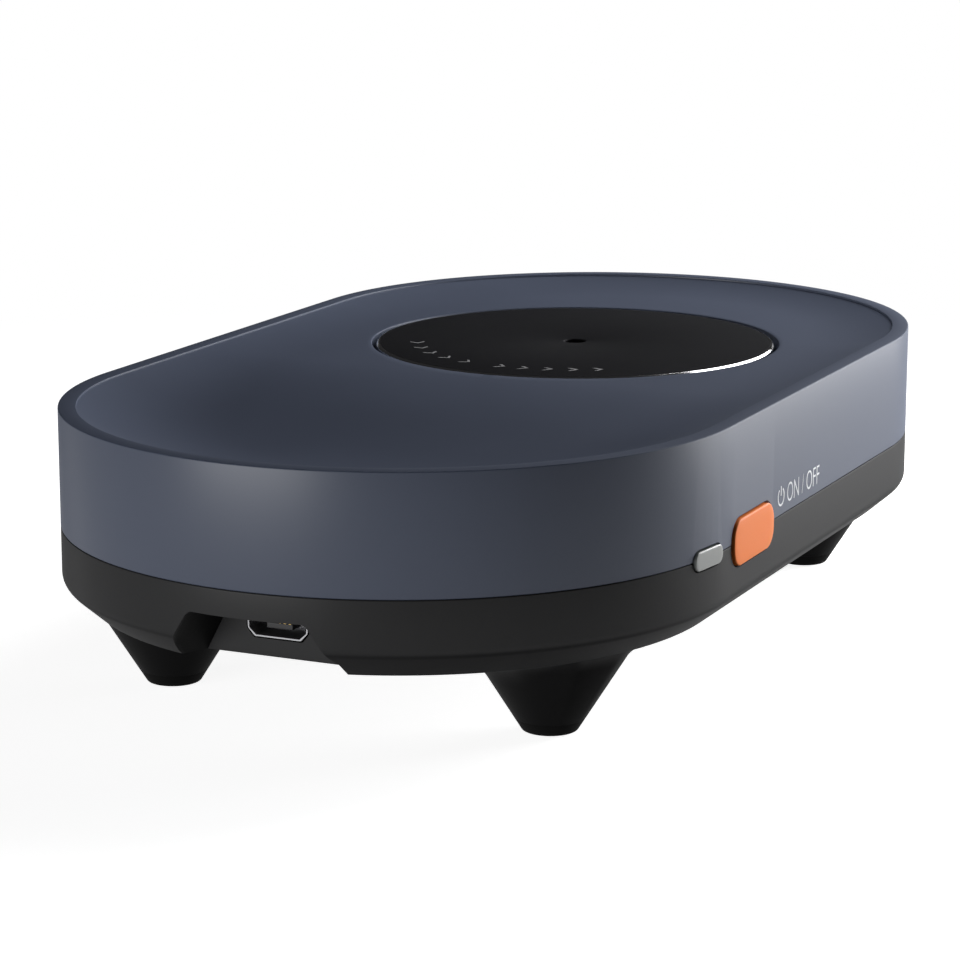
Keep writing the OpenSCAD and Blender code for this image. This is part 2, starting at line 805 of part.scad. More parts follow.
module gearhead() {
    color("lightslategray") translate([0, motor_y, gearhead_z]) difference() {
        union() {
            cylinder(h = gearhead_h, r = gearhead_r);
            cylinder(h = gearhead_h + frame_t + gearhead_boss_h, r = gearhead_boss_r - gearhead_fit);
        }
        translate([0, 0, shaft_floor_t]) cylinder(h = gearhead_h + frame_t + cut, r = shaft_r + run_gap);
        for (x = [-motor_screw_x, motor_screw_x]) translate([x, 0, gearhead_h - motor_hole_l])
            cylinder(h = motor_hole_l + cut, r = motor_screw_r + screw_gap, $fn = 32);
    }
}

module motor_can() {
    color("silver") translate([0, motor_y, can_z + end_cap_h])
        cylinder(h = gearhead_z - can_z - end_cap_h, r = can_r);
}

module motor_end_cap() {
    color("#2b2b2b") translate([0, motor_y, can_z]) difference() {
        cylinder(h = end_cap_h, r = can_r - end_cap_in);
        for (s = [-1, 1]) translate([s * terminal_x, -can_r, end_cap_h / 2])
            cube([terminal_w, 2 * terminal_in, terminal_t], center = true);
    }
}

module motor_terminal(s) {
    color("gold") translate([s * terminal_x, motor_y - can_r, can_z + end_cap_h / 2]) {
        translate([0, (terminal_in - terminal_out) / 2, 0])
            cube([terminal_w, terminal_in + terminal_out, terminal_t], center = true);
        translate([-terminal_w / 2, -terminal_out, -terminal_t / 2])
            cube([terminal_w, terminal_t, terminal_h]);
    }
}

module motor_screw(s) {
    color("silver") translate([s * motor_screw_x, motor_y, frame_top_z])
        screw(motor_screw_r, motor_screw_l, motor_head_r, motor_head_h);
}

module motor_shaft() {
    low_z = gearhead_z + shaft_floor_t + end_gap;
    color("silver") translate([0, motor_y, low_z]) cylinder(h = gear_top_z - low_z, r = shaft_r);
}

module motor_pinion() {
    low_z = gear_z - pinion_over;
    color("#c9a24a") translate([0, motor_y, low_z]) difference() {
        rotate([0, 0, 90 + 180 / pinion_teeth]) linear_extrude(height = gear_top_z - low_z)
            gear_outline(pinion_teeth);
        translate([0, 0, -cut]) cylinder(h = gear_t + 3 * cut, r = shaft_r);
    }
}

module circuit_board() {
    color("darkgreen") difference() {
        translate([0, 0, board_z]) linear_extrude(height = board_t) {
            translate([-board_w, board_front_y]) square([2 * board_w, board_rear_y - board_front_y]);
            translate([board_w - sink, board_arm_front_y])
                square([board_arm_x - board_w + sink, board_arm_rear_y - board_arm_front_y]);
        }
        at_board_posts() translate([0, 0, board_z - cut]) cylinder(h = board_t + 2 * cut, r = board_hole_r);
    }
}

module board_screw(x, y) {
    screw_y = y < 0 ? board_screw_front_y : board_screw_rear_y;
    color("silver") translate([board_screw_x * x, screw_y, board_top_z])
        screw(screw_r, board_screw_l, screw_head_r, screw_head_h);
}

module usb_shell() {
    color("silver") difference() {
        along_y(usb_y, usb_bottom_z, usb_l) usb_outline();
        along_y(usb_y - cut, usb_bottom_z, usb_l + cut - usb_t) usb_outline(-usb_t);
    }
}

module usb_tongue() {
    color("#151515") translate([-tongue_w / 2, usb_y + tongue_set_back, tongue_z - tongue_t / 2])
        cube([tongue_w, usb_l - usb_t - tongue_set_back, tongue_t]);
}

module usb_contacts() {
    color("gold") for (i = [-2 : 2])
        translate([i * contact_pitch - contact_w / 2, usb_y + tongue_set_back, tongue_z + tongue_t / 2])
            cube([contact_w, contact_l, contact_t]);
}

module lead_connector() {
    color("white") translate([-connector_w / 2, connector_y - connector_d / 2, board_top_z]) difference() {
        cube([connector_w, connector_d, connector_h]);
        for (s = [-1, 1]) translate([connector_w / 2 + s * lead_x, connector_d, connector_h / 2])
            rotate([90, 0, 0])
                cylinder(h = 2 * lead_seat_l, r = lead_r + lead_gap, center = true, $fn = 32);
    }
}

// Point at t on a cubic curve through the ends of p, drawn towards its middle points
function bezier(p, t) =
    pow(1 - t, 3) * p[0] + 3 * t * pow(1 - t, 2) * p[1] + 3 * t * t * (1 - t) * p[2] + pow(t, 3) * p[3];

// The lead on side s, a tube from the connector to its motor terminal
module lead(s) {
    start = [s * lead_x, connector_y + connector_d / 2 - lead_seat_l, board_top_z + connector_h / 2];
    end = [s * terminal_x, motor_y - can_r - terminal_out, can_z + end_cap_h / 2 + terminal_h * 0.6];
    route = [start, start + [0, lead_pull, 0], end - [0, lead_pull, 0], end];
    path = [for (k = [0 : lead_steps]) bezier(route, k / lead_steps)];
    rings = [
        for (k = [0 : lead_steps])
            let (ahead = path[min(k + 1, lead_steps)] - path[max(k - 1, 0)],
                 along = k == 0 || k == lead_steps ? [0, 1, 0] : ahead / norm(ahead),
                 across = cross(along, [0, 0, 1]) / norm(cross(along, [0, 0, 1])),
                 up = cross(across, along))
            for (i = [0 : lead_sides - 1]) let (a = i * 360 / lead_sides)
                path[k] + lead_r * (cos(a) * across + sin(a) * up)
    ];
    last = lead_steps * lead_sides;
    polyhedron(rings, [
        [for (i = [0 : lead_sides - 1]) i],
        for (k = [0 : lead_steps - 1], i = [0 : lead_sides - 1])
            let (a = k * lead_sides + i, b = k * lead_sides + (i + 1) % lead_sides)
                [a, a + lead_sides, b + lead_sides, b],
        [for (i = [lead_sides - 1 : -1 : 0]) last + i]
    ]);
}

module controller_chip() {
    color("#1a1a1a") translate([-chip_w / 2, chip_y - chip_d / 2, board_top_z + chip_lift])
        cube([chip_w, chip_d, chip_h]);
}

module chip_legs() {
    color("silver") for (i = [-1.5 : 1.5], s = [-1, 1])
        translate([i * leg_pitch, chip_y + s * (chip_d + leg_out) / 2, board_top_z])
            translate([-leg_w / 2, -leg_out / 2, 0]) cube([leg_w, leg_out, leg_t + chip_lift]);
}

module capacitor() {
    color("midnightblue") translate([cap_x, chip_y, board_top_z]) cylinder(h = cap_h, r = cap_r);
}

module power_switch_body() {
    depth = plunger_l - (flange_x - switch_x) + button_travel + switch_slack;
    hole_w = plunger_w + 2 * plunger_gap;
    hole_h = plunger_h + 2 * plunger_gap;
    color("#303034") difference() {
        translate([switch_x - switch_l, button_y - switch_w / 2, board_top_z])
            cube([switch_l, switch_w, switch_h]);
        translate([switch_x - depth, button_y - hole_w / 2, button_z - hole_h / 2])
            cube([depth + cut, hole_w, hole_h]);
    }
}

module switch_plunger() {
    color("whitesmoke")
        translate([flange_x - plunger_l, button_y - plunger_w / 2, button_z - plunger_h / 2])
            cube([plunger_l, plunger_w, plunger_h]);
}

module power_button() {
    key_x = flange_x + flange_t - join;
    color(button_orange) {
        on_side(flange_x, button_y, button_z) linear_extrude(height = flange_t)
            round_rect(button_l + 2 * flange_over, button_h + 2 * flange_over, button_r + flange_over);
        on_side(key_x, button_y, button_z)
            bevelled_plate(button_l, button_h, button_r, button_face_x - key_x, button_bevel);
    }
}

module status_lens() {
    over = lens_flange_over;
    color("#a9aca6") at_lens() {
        on_side(lens_flange_r - lens_flange_t, 0, seam_z) linear_extrude(height = lens_flange_t)
            round_rect(lens_l + 2 * over, lens_h + 2 * over, lens_r + over);
        on_side(lens_flange_r - join, 0, seam_z)
            bevelled_plate(lens_l, lens_h, lens_r, lens_face_r - lens_flange_r + join, lens_bevel);
        translate([lens_flange_r - lens_flange_t - lens_stem_l, -lens_stem_w / 2, seam_z - lens_h / 2])
            cube([lens_stem_l + join, lens_stem_w, lens_h]);
    }
}

module status_led() {
    x = lens_flange_r - lens_flange_t - lens_stem_l - led_gap;
    color("white") at_lens() translate([x - led_t, -led_w / 2, board_top_z])
        cube([led_t, led_w, seam_z + lens_h / 2 - board_top_z]);
}

top_housing();
base_housing();
foot_pad(-1, -1);  // foot_pad_fl
foot_pad(1, -1);  // foot_pad_fr
foot_pad(-1, 1);  // foot_pad_rl
foot_pad(1, 1);  // foot_pad_rr
housing_screw(-1, -1);  // housing_screw_fl
housing_screw(1, -1);  // housing_screw_fr
housing_screw(-1, 1);  // housing_screw_rl
housing_screw(1, 1);  // housing_screw_rr
turntable_plate();
turntable_trim();
turntable_hub();
spindle();
spindle_bush();
turntable_gear();
gear_frame();
frame_screw(-1, -1);  // frame_screw_fl
frame_screw(1, -1);  // frame_screw_fr
frame_screw(-1, 1);  // frame_screw_rl
frame_screw(1, 1);  // frame_screw_rr
gearhead();
motor_can();
motor_end_cap();
motor_terminal(-1);  // motor_terminal_l
motor_terminal(1);  // motor_terminal_r
motor_screw(-1);  // motor_screw_l
motor_screw(1);  // motor_screw_r
motor_shaft();
motor_pinion();
circuit_board();
board_screw(-1, -1);  // board_screw_fl
board_screw(1, -1);  // board_screw_fr
board_screw(-1, 1);  // board_screw_rear
usb_shell();
usb_tongue();
usb_contacts();
lead_connector();
color("crimson") lead(1);  // lead_red
color("#141414") lead(-1);  // lead_black
controller_chip();
chip_legs();
capacitor();
power_switch_body();
switch_plunger();
power_button();
status_lens();
status_led();
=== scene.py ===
"""Looks for the mouse jiggler: smooth shells, turntable, button, lens, socket, marks and studio.

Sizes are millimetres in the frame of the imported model, unless a name ends in _m, and meshes are metres.
"""

import json
import logging
import math
from dataclasses import dataclass
from enum import Enum, IntEnum
from functools import cache
from typing import Callable, Sequence

import bmesh
import bpy
from mathutils import Matrix, Vector

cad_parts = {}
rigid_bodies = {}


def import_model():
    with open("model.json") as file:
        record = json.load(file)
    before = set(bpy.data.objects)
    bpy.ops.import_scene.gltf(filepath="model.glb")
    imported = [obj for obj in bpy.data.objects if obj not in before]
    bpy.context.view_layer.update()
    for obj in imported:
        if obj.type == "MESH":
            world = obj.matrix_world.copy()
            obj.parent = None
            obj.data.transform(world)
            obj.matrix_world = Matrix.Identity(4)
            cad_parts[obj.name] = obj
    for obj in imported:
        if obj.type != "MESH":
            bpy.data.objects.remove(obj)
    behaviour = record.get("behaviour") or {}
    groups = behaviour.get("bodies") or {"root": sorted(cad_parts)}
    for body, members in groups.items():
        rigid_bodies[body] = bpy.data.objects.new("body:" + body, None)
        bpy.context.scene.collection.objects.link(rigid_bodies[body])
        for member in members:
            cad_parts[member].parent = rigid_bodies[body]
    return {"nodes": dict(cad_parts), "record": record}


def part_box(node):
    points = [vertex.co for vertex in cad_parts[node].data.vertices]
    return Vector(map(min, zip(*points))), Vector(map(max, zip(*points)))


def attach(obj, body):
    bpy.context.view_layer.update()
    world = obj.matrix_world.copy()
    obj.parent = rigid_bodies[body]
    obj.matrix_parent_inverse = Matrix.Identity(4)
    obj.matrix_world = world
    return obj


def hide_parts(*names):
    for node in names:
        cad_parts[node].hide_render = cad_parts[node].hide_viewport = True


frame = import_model()

LOG = logging.getLogger("mouse_jiggler")
MM = 0.001
# Edges that turn by more than this stay crisp
CRISP_DEG = 32.0
# How far tool solids reach past the faces that they cut
PAST = 1.0
WHITE = (1.0, 1.0, 1.0)
# The same along every axis
EVEN = (1.0, 1.0, 1.0)

Point2 = tuple[float, float]
Point3 = tuple[float, float, float]
# Two coordinates and the radius of the round there
Corner = tuple[float, float, float]
Colour = tuple[float, float, float]
Faces = list[tuple[int, ...]]
Material = bpy.types.Material
Piece = bpy.types.Object
Link = bpy.types.NodeSocket


class Body(Enum):
    """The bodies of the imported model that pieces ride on."""

    HOUSING = "housing"
    TURNTABLE = "turntable"
    BUTTON = "button"


class Join(Enum):
    """How a tool solid changes the solid that it meets."""

    ADD = "UNION"
    CUT = "DIFFERENCE"
    KEEP = "INTERSECT"


class Axis(IntEnum):
    """The frame's axes: across the body, along it and up."""

    X = 0
    Y = 1
    Z = 2


X, Y, Z = Axis


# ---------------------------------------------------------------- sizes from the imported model


def span(node: str, axis: Axis) -> Point2:
    """Where a CAD node starts and stops along an axis."""
    low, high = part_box(node)
    return round(low[axis] / MM, 4), round(high[axis] / MM, 4)


def size(node: str, axis: Axis) -> float:
    """How far a CAD node reaches along an axis."""
    low, high = span(node, axis)
    return round(high - low, 4)


def middle(node: str, axis: Axis) -> float:
    """The middle of a CAD node along an axis."""
    return round(sum(span(node, axis)) / 2, 4)


END_R = size("top_housing", X) / 2
END_Y = size("top_housing", Y) / 2 - END_R
# The seam between the shells, the foot of the upright wall, the underside and how far in it starts
SEAM_Z = 19.5
WALL_FOOT_Z = 13.3
UNDER_Z = 10.3
CHAMFER_IN = 3.45


# ---------------------------------------------------------------- node trees


class Value:
    """A shader socket that Python's operators work on, each adding its Math node."""

    def __init__(self, nodes: "Nodes", socket: Link) -> None:
        """Wraps an output socket of a tree."""
        self.nodes = nodes
        self.socket = socket

    def _math(self, operation: str, *values: "Value | float") -> "Value":
        """Adds a Math node over the values, in their order."""
        return self.nodes.value("ShaderNodeMath", dict(enumerate(values)), operation=operation)

    def __add__(self, other: "Value | float") -> "Value":
        """Sum."""
        return self._math("ADD", self, other)

    def __radd__(self, other: float) -> "Value":
        """Sum with a number in front."""
        return self._math("ADD", other, self)

    def __sub__(self, other: "Value | float") -> "Value":
        """Difference."""
        return self._math("SUBTRACT", self, other)

    def __rsub__(self, other: float) -> "Value":
        """Difference from a number."""
        return self._math("SUBTRACT", other, self)

    def __mul__(self, other: "Value | float") -> "Value":
        """Product."""
        return self._math("MULTIPLY", self, other)

    def __rmul__(self, other: float) -> "Value":
        """Product with a number in front."""
        return self._math("MULTIPLY", other, self)

    def least(self, other: "Value | float") -> "Value":
        """This value, but never less than the other."""
        return self._math("MAXIMUM", self, other)

    def ramp(self, low: float, high: float, start: float = 0.0, end: float = 1.0) -> "Value":
        """Runs smoothly from one number to another.

        Args:
            low: Value at which the result starts.
            high: Value at which the result ends.
            start: The result at low and before it.
            end: The result at high and past it.

        Returns:
            The eased value.
        """
        return self.nodes.value(
            "ShaderNodeMapRange",
            {"Value": self, "From Min": low, "From Max": high, "To Min": start, "To Max": end},
            interpolation_type="SMOOTHSTEP",
        )


class Nodes:
    """A node tree, with one method that adds any node."""

    def __init__(self, tree: bpy.types.NodeTree) -> None:
        """Takes a tree and empties it."""
        self.tree = tree
        tree.nodes.clear()

    def add(self, kind: str, inputs: dict | None = None, **settings: object) -> bpy.types.Node:
        """Adds a node.

        Args:
            kind: The node's type.
            inputs: Values or links of its sockets, by name or number.
            **settings: Its properties, which are set first.

        Returns:
            The new node.
        """
        node = self.tree.nodes.new(kind)
        for key, setting in settings.items():
            setattr(node, key, setting)
        for key, value in (inputs or {}).items():
            self.feed(node.inputs[key], value)
        return node

    def feed(self, socket: Link, value: object) -> None:
        """Sets or links an input socket.

        Args:
            socket: The input socket.
            value: A Value or an output socket to link, or else a number, colour or other constant.
        """
        if isinstance(value, Value):
            self.tree.links.new(value.socket, socket)
        elif isinstance(value, Link):
            self.tree.links.new(value, socket)
        elif socket.type == "RGBA":
            socket.default_value = (*value, 1.0)
        else:
            socket.default_value = value

    def value(self, kind: str, inputs: dict, output: int | str = 0, **settings: object) -> Value:
        """Adds a node and wraps one of its outputs."""
        return Value(self, self.add(kind, inputs, **settings).outputs[output])

    def part(self, vector: Link, axis: Axis) -> Value:
        """One of a vector's three numbers."""
        return self.value("ShaderNodeSeparateXYZ", {0: vector}, axis)

    def vector(self, operation: str, *vectors: object) -> bpy.types.Node:
        """Adds a Vector Math node over the vectors, in their order."""
        return self.add("ShaderNodeVectorMath", dict(enumerate(vectors)), operation=operation)


class Shader(Nodes):
    """A material's node tree, which feeds one Principled shader."""

    def __init__(self, name: str) -> None:
        """Makes the material, with a Principled shader on its output.

        Args:
            name: The material's name.
        """
        self.material = bpy.data.materials.new(name)
        self.material.use_nodes = True
        super().__init__(self.material.node_tree)
        self.surface = self.add("ShaderNodeBsdfPrincipled")
        self.output = self.add("ShaderNodeOutputMaterial", {"Surface": self.surface.outputs[0]})
        self.place = self.add("ShaderNodeTexCoord").outputs["Object"]

    def noise(self, size_mm: float, detail: float = 2.0, place: Link | None = None) -> Value:
        """Soft noise from 0 to 1 whose features are about size_mm across."""
        inputs = {"Vector": place or self.place, "Scale": 1 / (size_mm * MM), "Detail": detail}
        return self.value("ShaderNodeTexNoise", inputs)

    def cells(self, size_mm: float) -> Value:
        """Distance to the nearest of points about size_mm apart."""
        inputs = {"Vector": self.place, "Scale": 1 / (size_mm * MM)}
        return self.value("ShaderNodeTexVoronoi", inputs, "Distance")

    def along(self, axis: Axis) -> Value:
        """The surface point's place along an axis, in millimetres."""
        return self.part(self.place, axis) * (1 / MM)

    def facing(self, axis: Axis) -> Value:
        """The face's direction along an axis, from -1 to 1."""
        return self.part(self.add("ShaderNodeTexCoord").outputs["Normal"], axis)

    def upright(self) -> Value:
        """1 on upright faces, falling to 0 on faces that look up or down."""
        lean = self.facing(Z)
        return 1 - (lean * lean).ramp(0.02, 0.3)

    def grazing(self) -> Value:
        """0 where the face is seen squarely, 1 where it turns out of sight."""
        return self.value("ShaderNodeLayerWeight", {"Blend": 0.5}, "Facing").ramp(0.66, 0.9)

    def in_recess(self) -> Value:
        """1 on the cable recess's side walls and roof, where shade is painted, 0 on the body's outer faces.

        Returns:
            The mask, from how far the point lies behind the outer face, walls and chamfer alike.
        """
        moved = self.vector("ADD", self.place, (0, END_Y * MM, 0))
        level = self.vector("MULTIPLY", moved.outputs[0], (1, 1, 0))
        reach = Value(self, self.vector("LENGTH", level.outputs[0]).outputs["Value"])
        inset = END_R - reach * (1 / MM)
        chamfer = (WALL_FOOT_Z - self.along(Z)).least(0) * (CHAMFER_IN / (WALL_FOOT_Z - UNDER_Z))
        behind = (inset - chamfer).ramp(0.1, 0.7)
        near_end = self.along(Y).ramp(-55, -58)
        beside_back_wall = self.facing(Y).ramp(-0.95, -0.7)
        return behind * near_end * beside_back_wall

    def mix(self, factor: Value, low: Colour | Link, high: Colour | Link) -> Link:
        """A colour between low, at 0, and high, at 1."""
        return self.add("ShaderNodeMix", {0: factor, 6: low, 7: high}, data_type="RGBA").outputs[2]

    def bump(self, height: Value, depth_mm: float) -> None:
        """Gives the surface small relief: 0 lies depth_mm below 1."""
        node = self.add("ShaderNodeBump", {"Strength": 1.0, "Distance": depth_mm * MM, "Height": height})
        self.feed(self.surface.inputs["Normal"], node.outputs[0])

    def set(self, **values: object) -> None:
        """Sets the Principled shader's sockets, written with _ for a space."""
        for key, value in values.items():
            self.feed(self.surface.inputs[key.replace("_", " ")], value)


# ---------------------------------------------------------------- finishes


def tone(colour: Colour, by: float) -> Colour:
    """The colour made lighter or darker by a factor."""
    return tuple(min(1.0, part * by) for part in colour)


@dataclass(frozen=True)
class Finish:
    """A material of one colour, which each kind of finish dresses in its own way."""

    name: str
    colour: Colour

    def build(self) -> Material:
        """Makes the material.

        Returns:
            The new material.
        """
        shader = Shader(self.name)
        self.dress(shader)
        return shader.material

    def dress(self, shader: Shader) -> None:
        """Sets the shader's sockets."""
        raise NotImplementedError

    def shades(self, shader: Shader, factor: Value, low: float, high: float) -> Link:
        """The colour times low, where the factor is 0, to times high, where it is 1."""
        return shader.mix(factor, tone(self.colour, low), tone(self.colour, high))


@dataclass(frozen=True)
class Moulded(Finish):
    """A satin moulded plastic with spark-eroded grain.

    Its coat, if it has one, lies on upright faces only. With a painted shade tone below 1, shade is painted
    on the feet, darker towards the bottom, and on the walls of the cable recess, and the coat is left off
    there.
    """

    roughness: float = 0.5
    grain_mm: float = 0.22
    depth_mm: float = 0.006
    specular: float = 0.3
    mottle: float = 0.05
    satin: float = 0.0
    satin_roughness: float = 0.36
    satin_index: float = 2.2
    # Painted shade: its colour factor, and the heights between which it fades out going up the feet; the
    # cable recess gets it too
    painted_shade_tone: float = 1.0
    painted_shade_z: Point2 = (8.5, 11.0)

    def dress(self, shader: Shader) -> None:
        """Sets the shader's sockets.

        Args:
            shader: The material being built.
        """
        cloud, grain = shader.noise(14.0, 3.0), shader.noise(self.grain_mm, 3.0)
        fine = shader.cells(self.grain_mm * 1.7)
        shade = (cloud * 0.7 + grain * 0.3).ramp(0.25, 0.75)
        colour = self.shades(shader, shade, 1 - self.mottle, 1 + self.mottle)
        # Painted shade: the cable recess's walls, and the feet darker towards the bottom, take a darker
        # colour and lose the coat
        deep = 0.0
        if self.painted_shade_tone < 1:
            deep = shader.in_recess() + (1 - shader.along(Z).ramp(*self.painted_shade_z))
            colour = shader.mix(deep, colour, tone(self.colour, self.painted_shade_tone))
        roughness = cloud * 0.06 + grain * 0.08 + (self.roughness - 0.07)
        shader.set(Base_Color=colour, Roughness=roughness, Specular_IOR_Level=self.specular)
        if self.satin:
            shader.set(
                Coat_Weight=shader.upright() * (1 - shader.grazing()) * (1 - deep) * self.satin,
                Coat_Roughness=self.satin_roughness,
                Coat_IOR=self.satin_index,
            )
        shader.bump(grain * 0.6 + fine * 0.4, self.depth_mm)


@dataclass(frozen=True)
class Etched(Finish):
    """A black disc with a fine random speckle that an optical sensor can follow."""

    roughness: float = 0.5
    speckle_mm: float = 0.16
    depth_mm: float = 0.004
    specular: float = 0.015

    def dress(self, shader: Shader) -> None:
        """Sets the shader's sockets.

        Args:
            shader: The material being built.
        """
        speckle = shader.cells(self.speckle_mm).ramp(0.2, 0.75)
        cloud = shader.noise(9.0)
        shader.set(
            Base_Color=self.shades(shader, speckle * 0.7 + cloud * 0.3, 0.75, 1.3),
            Roughness=cloud * 0.08 + speckle * 0.06 + (self.roughness - 0.07),
            Specular_IOR_Level=self.specular,
        )
        shader.bump(speckle, self.depth_mm)


@dataclass(frozen=True)
class Metal(Finish):
    """A metal, from polished to ground, with fine lines along the stretched direction."""

    roughness: float = 0.25
    line_mm: float = 0.12
    stretch: Point3 = (1.0, 1.0, 0.08)
    depth_mm: float = 0.001

    def dress(self, shader: Shader) -> None:
        """Sets the shader's sockets.

        Args:
            shader: The material being built.
        """
        drawn = shader.add("ShaderNodeMapping", {"Vector": shader.place, "Scale": self.stretch})
        line = shader.noise(self.line_mm, place=drawn.outputs[0])
        cloud = shader.noise(6.0)
        shader.set(
            Base_Color=self.shades(shader, cloud * 0.6 + line * 0.4, 0.92, 1.06),
            Metallic=1.0,
            Roughness=line * 0.08 + cloud * 0.05 + max(0.02, self.roughness - 0.06),
        )
        shader.bump(line, self.depth_mm)


@dataclass(frozen=True)
class Milky(Finish):
    """A light pipe: smooth outside, cloudy inside."""

    def dress(self, shader: Shader) -> None:
        """Sets the shader's sockets.

        Args:
            shader: The material being built.
        """
        cloud = shader.noise(1.6)
        shader.set(
            Base_Color=self.shades(shader, cloud, 0.94, 1.06),
            Roughness=cloud * 0.06 + 0.26,
            Subsurface_Weight=0.15,
            Subsurface_Radius=EVEN,
            Subsurface_Scale=0.6 * MM,
            Coat_Weight=0.2,
            Coat_Roughness=0.15,
        )
        shader.bump(shader.noise(0.5, 1.0), 0.0015)


@dataclass(frozen=True)
class Printed(Finish):
    """Pad-printed ink, a little uneven."""

    def dress(self, shader: Shader) -> None:
        """Sets the shader's sockets.

        Args:
            shader: The material being built.
        """
        patchy = shader.noise(0.35)
        shader.set(
            Base_Color=self.shades(shader, patchy, 0.9, 1.04),
            Roughness=patchy * 0.12 + 0.5,
            Specular_IOR_Level=0.3,
        )
        shader.bump(patchy, 0.003)


@dataclass(frozen=True)
class Laminate(Finish):
    """A circuit board: glass weave under solder mask."""

    def dress(self, shader: Shader) -> None:
        """Sets the shader's sockets.

        Args:
            shader: The material being built.
        """
        thread = shader.value(
            "ShaderNodeTexWave",
            {"Vector": shader.place, "Scale": 400.0, "Distortion": 1.5},
            wave_type="BANDS",
            bands_direction="DIAGONAL",
        )
        cloud = shader.noise(5.0)
        shader.set(
            Base_Color=self.shades(shader, thread * 0.5 + cloud * 0.5, 0.75, 1.25),
            Roughness=cloud * 0.1 + 0.25,
            Coat_Weight=0.4,
            Coat_Roughness=0.1,
        )
        shader.bump(thread, 0.004)


def smooth(name: str, colour: Colour, roughness: float, **more: float) -> Moulded:
    """A smooth moulded plastic, for the inner pieces."""
    return Moulded(name, colour, roughness, **{"grain_mm": 0.3, "depth_mm": 0.003, "specular": 0.4, **more})


FINISHES: dict[str, Finish] = {
    "blue_shell": Moulded(
        "slate_blue_shell", (0.088, 0.104, 0.150), 0.55, 0.2, 0.004, 0.05, mottle=0.03, satin=0.17
    ),
    # The black base has painted shade on its feet and in its cable recess
    "black_shell": Moulded(
        "black_base_shell", (0.027, 0.027, 0.028), 0.6, 0.26, 0.008, 0.025, 0.06, 0.075, painted_shade_tone=0.26
    ),
    "black_rubber": Moulded("rubber_pad", (0.007, 0.007, 0.007), 0.8, 0.35, 0.01, 0.04, mottle=0.1),
    "steel_screw": Metal("zinc_screw", (0.55, 0.55, 0.56), 0.34),
    "disc_black": Etched("etched_disc", (0.017, 0.017, 0.019)),
    "polished_trim": Metal("polished_edge", (0.84, 0.84, 0.86), 0.12, 0.3, EVEN, depth_mm=0.0003),
    "dark_plastic": Moulded("dark_inner_plastic", (0.03, 0.03, 0.032)),
    "shaft_steel": Metal("ground_steel", (0.6, 0.6, 0.61), 0.2),
    "bush_bronze": Metal("sintered_bronze", (0.45, 0.27, 0.12), 0.42, 0.1, EVEN, depth_mm=0.004),
    "gear_nylon": smooth("gear_nylon", (0.8, 0.78, 0.7), 0.45, depth_mm=0.004, mottle=0.03),
    "motor_steel": Metal("nickel_motor_can", (0.5, 0.5, 0.52), 0.3),
    "brass": Metal("machined_brass", (0.68, 0.48, 0.18), 0.24),
    "board_green": Laminate("solder_mask", (0.02, 0.12, 0.05)),
    "socket_steel": Metal("nickel_socket", (0.27, 0.27, 0.28), 0.42, 0.2, (1, 0.1, 1)),
    "white_plastic": smooth("white_inner_plastic", (0.75, 0.75, 0.72), 0.42, mottle=0.03),
    "lead_red": smooth("red_lead_sleeve", (0.55, 0.02, 0.02), 0.4),
    "lead_black": smooth("black_lead_sleeve", (0.015, 0.015, 0.015), 0.4),
    "tinned_legs": Metal("tinned_leg", (0.66, 0.66, 0.66), 0.3),
    "capacitor_sleeve": smooth(
        "capacitor_sleeve", (0.02, 0.03, 0.1), 0.3, grain_mm=0.4, depth_mm=0.002, specular=0.5
    ),
    "button_orange": Moulded("orange_key", (1.0, 0.24, 0.045), 0.5, 0.2, 0.004, 0.12, mottle=0.02),
    "lens_grey": Milky("milky_lens", (0.2, 0.213, 0.205)),
    "disc_print": Printed("grey_print", (0.33, 0.33, 0.34)),
    "side_print": Printed("white_print", (0.86, 0.87, 0.9)),
}


@cache
def material(finish: str) -> Material:
    """The material of a slot of the record or of a print, built once."""
    return FINISHES[finish].build()


# ---------------------------------------------------------------- mesh tools


def put(name: str, data: bpy.types.ID) -> Piece:
    """Makes an object and links it to the scene.

    Args:
        name: The object's name.
        data: Its mesh, curve, lamp or camera.

    Returns:
        The new object.
    """
    obj = bpy.data.objects.new(name, data)
    bpy.context.scene.collection.objects.link(obj)
    return obj


def make_piece(
    name: str,
    points: Sequence[Sequence[float]],
    faces: Sequence[Sequence[int]],
    look: Material | None = None,
) -> Piece:
    """Makes an object from points in millimetres.

    Args:
        name: The piece's name.
        points: Corners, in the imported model's frame.
        faces: Corner numbers of each face.
        look: Its material; a tool solid has none.

    Returns:
        The new object, at the origin, with its faces pointing outwards.
    """
    mesh = bpy.data.meshes.new(name)
    mesh.from_pydata([Vector(p) * MM for p in points], [], [list(f) for f in faces])
    if look:
        mesh.materials.append(look)
    piece = put(name, mesh)
    tidy_mesh(piece)
    return piece


def tidy_mesh(piece: Piece) -> None:
    """Merges doubles, turns faces outwards and shades smooth between crisp edges.

    Args:
        piece: The object whose mesh changes.
    """
    grid = bmesh.new()
    grid.from_mesh(piece.data)
    bmesh.ops.remove_doubles(grid, verts=grid.verts, dist=1e-7)
    bmesh.ops.dissolve_degenerate(grid, edges=grid.edges, dist=1e-7)
    bmesh.ops.recalc_face_normals(grid, faces=grid.faces)
    grid.to_mesh(piece.data)
    grid.free()
    piece.data.shade_smooth()
    piece.data.set_sharp_from_angle(angle=math.radians(CRISP_DEG))


def plain_mesh(piece: Piece) -> bpy.types.Mesh:
    """A new mesh of the piece with its live modifiers, or of a text's letters."""
    graph = bpy.context.evaluated_depsgraph_get()
    return bpy.data.meshes.new_from_object(piece.evaluated_get(graph), depsgraph=graph)


def bake(piece: Piece) -> None:
    """Turns the piece's live modifiers into plain mesh.

    Args:
        piece: The piece, which keeps its mesh's name.
    """
    mesh, old = plain_mesh(piece), piece.data
    piece.modifiers.clear()
    piece.data = mesh
    mesh.name = old.name
    bpy.data.meshes.remove(old)


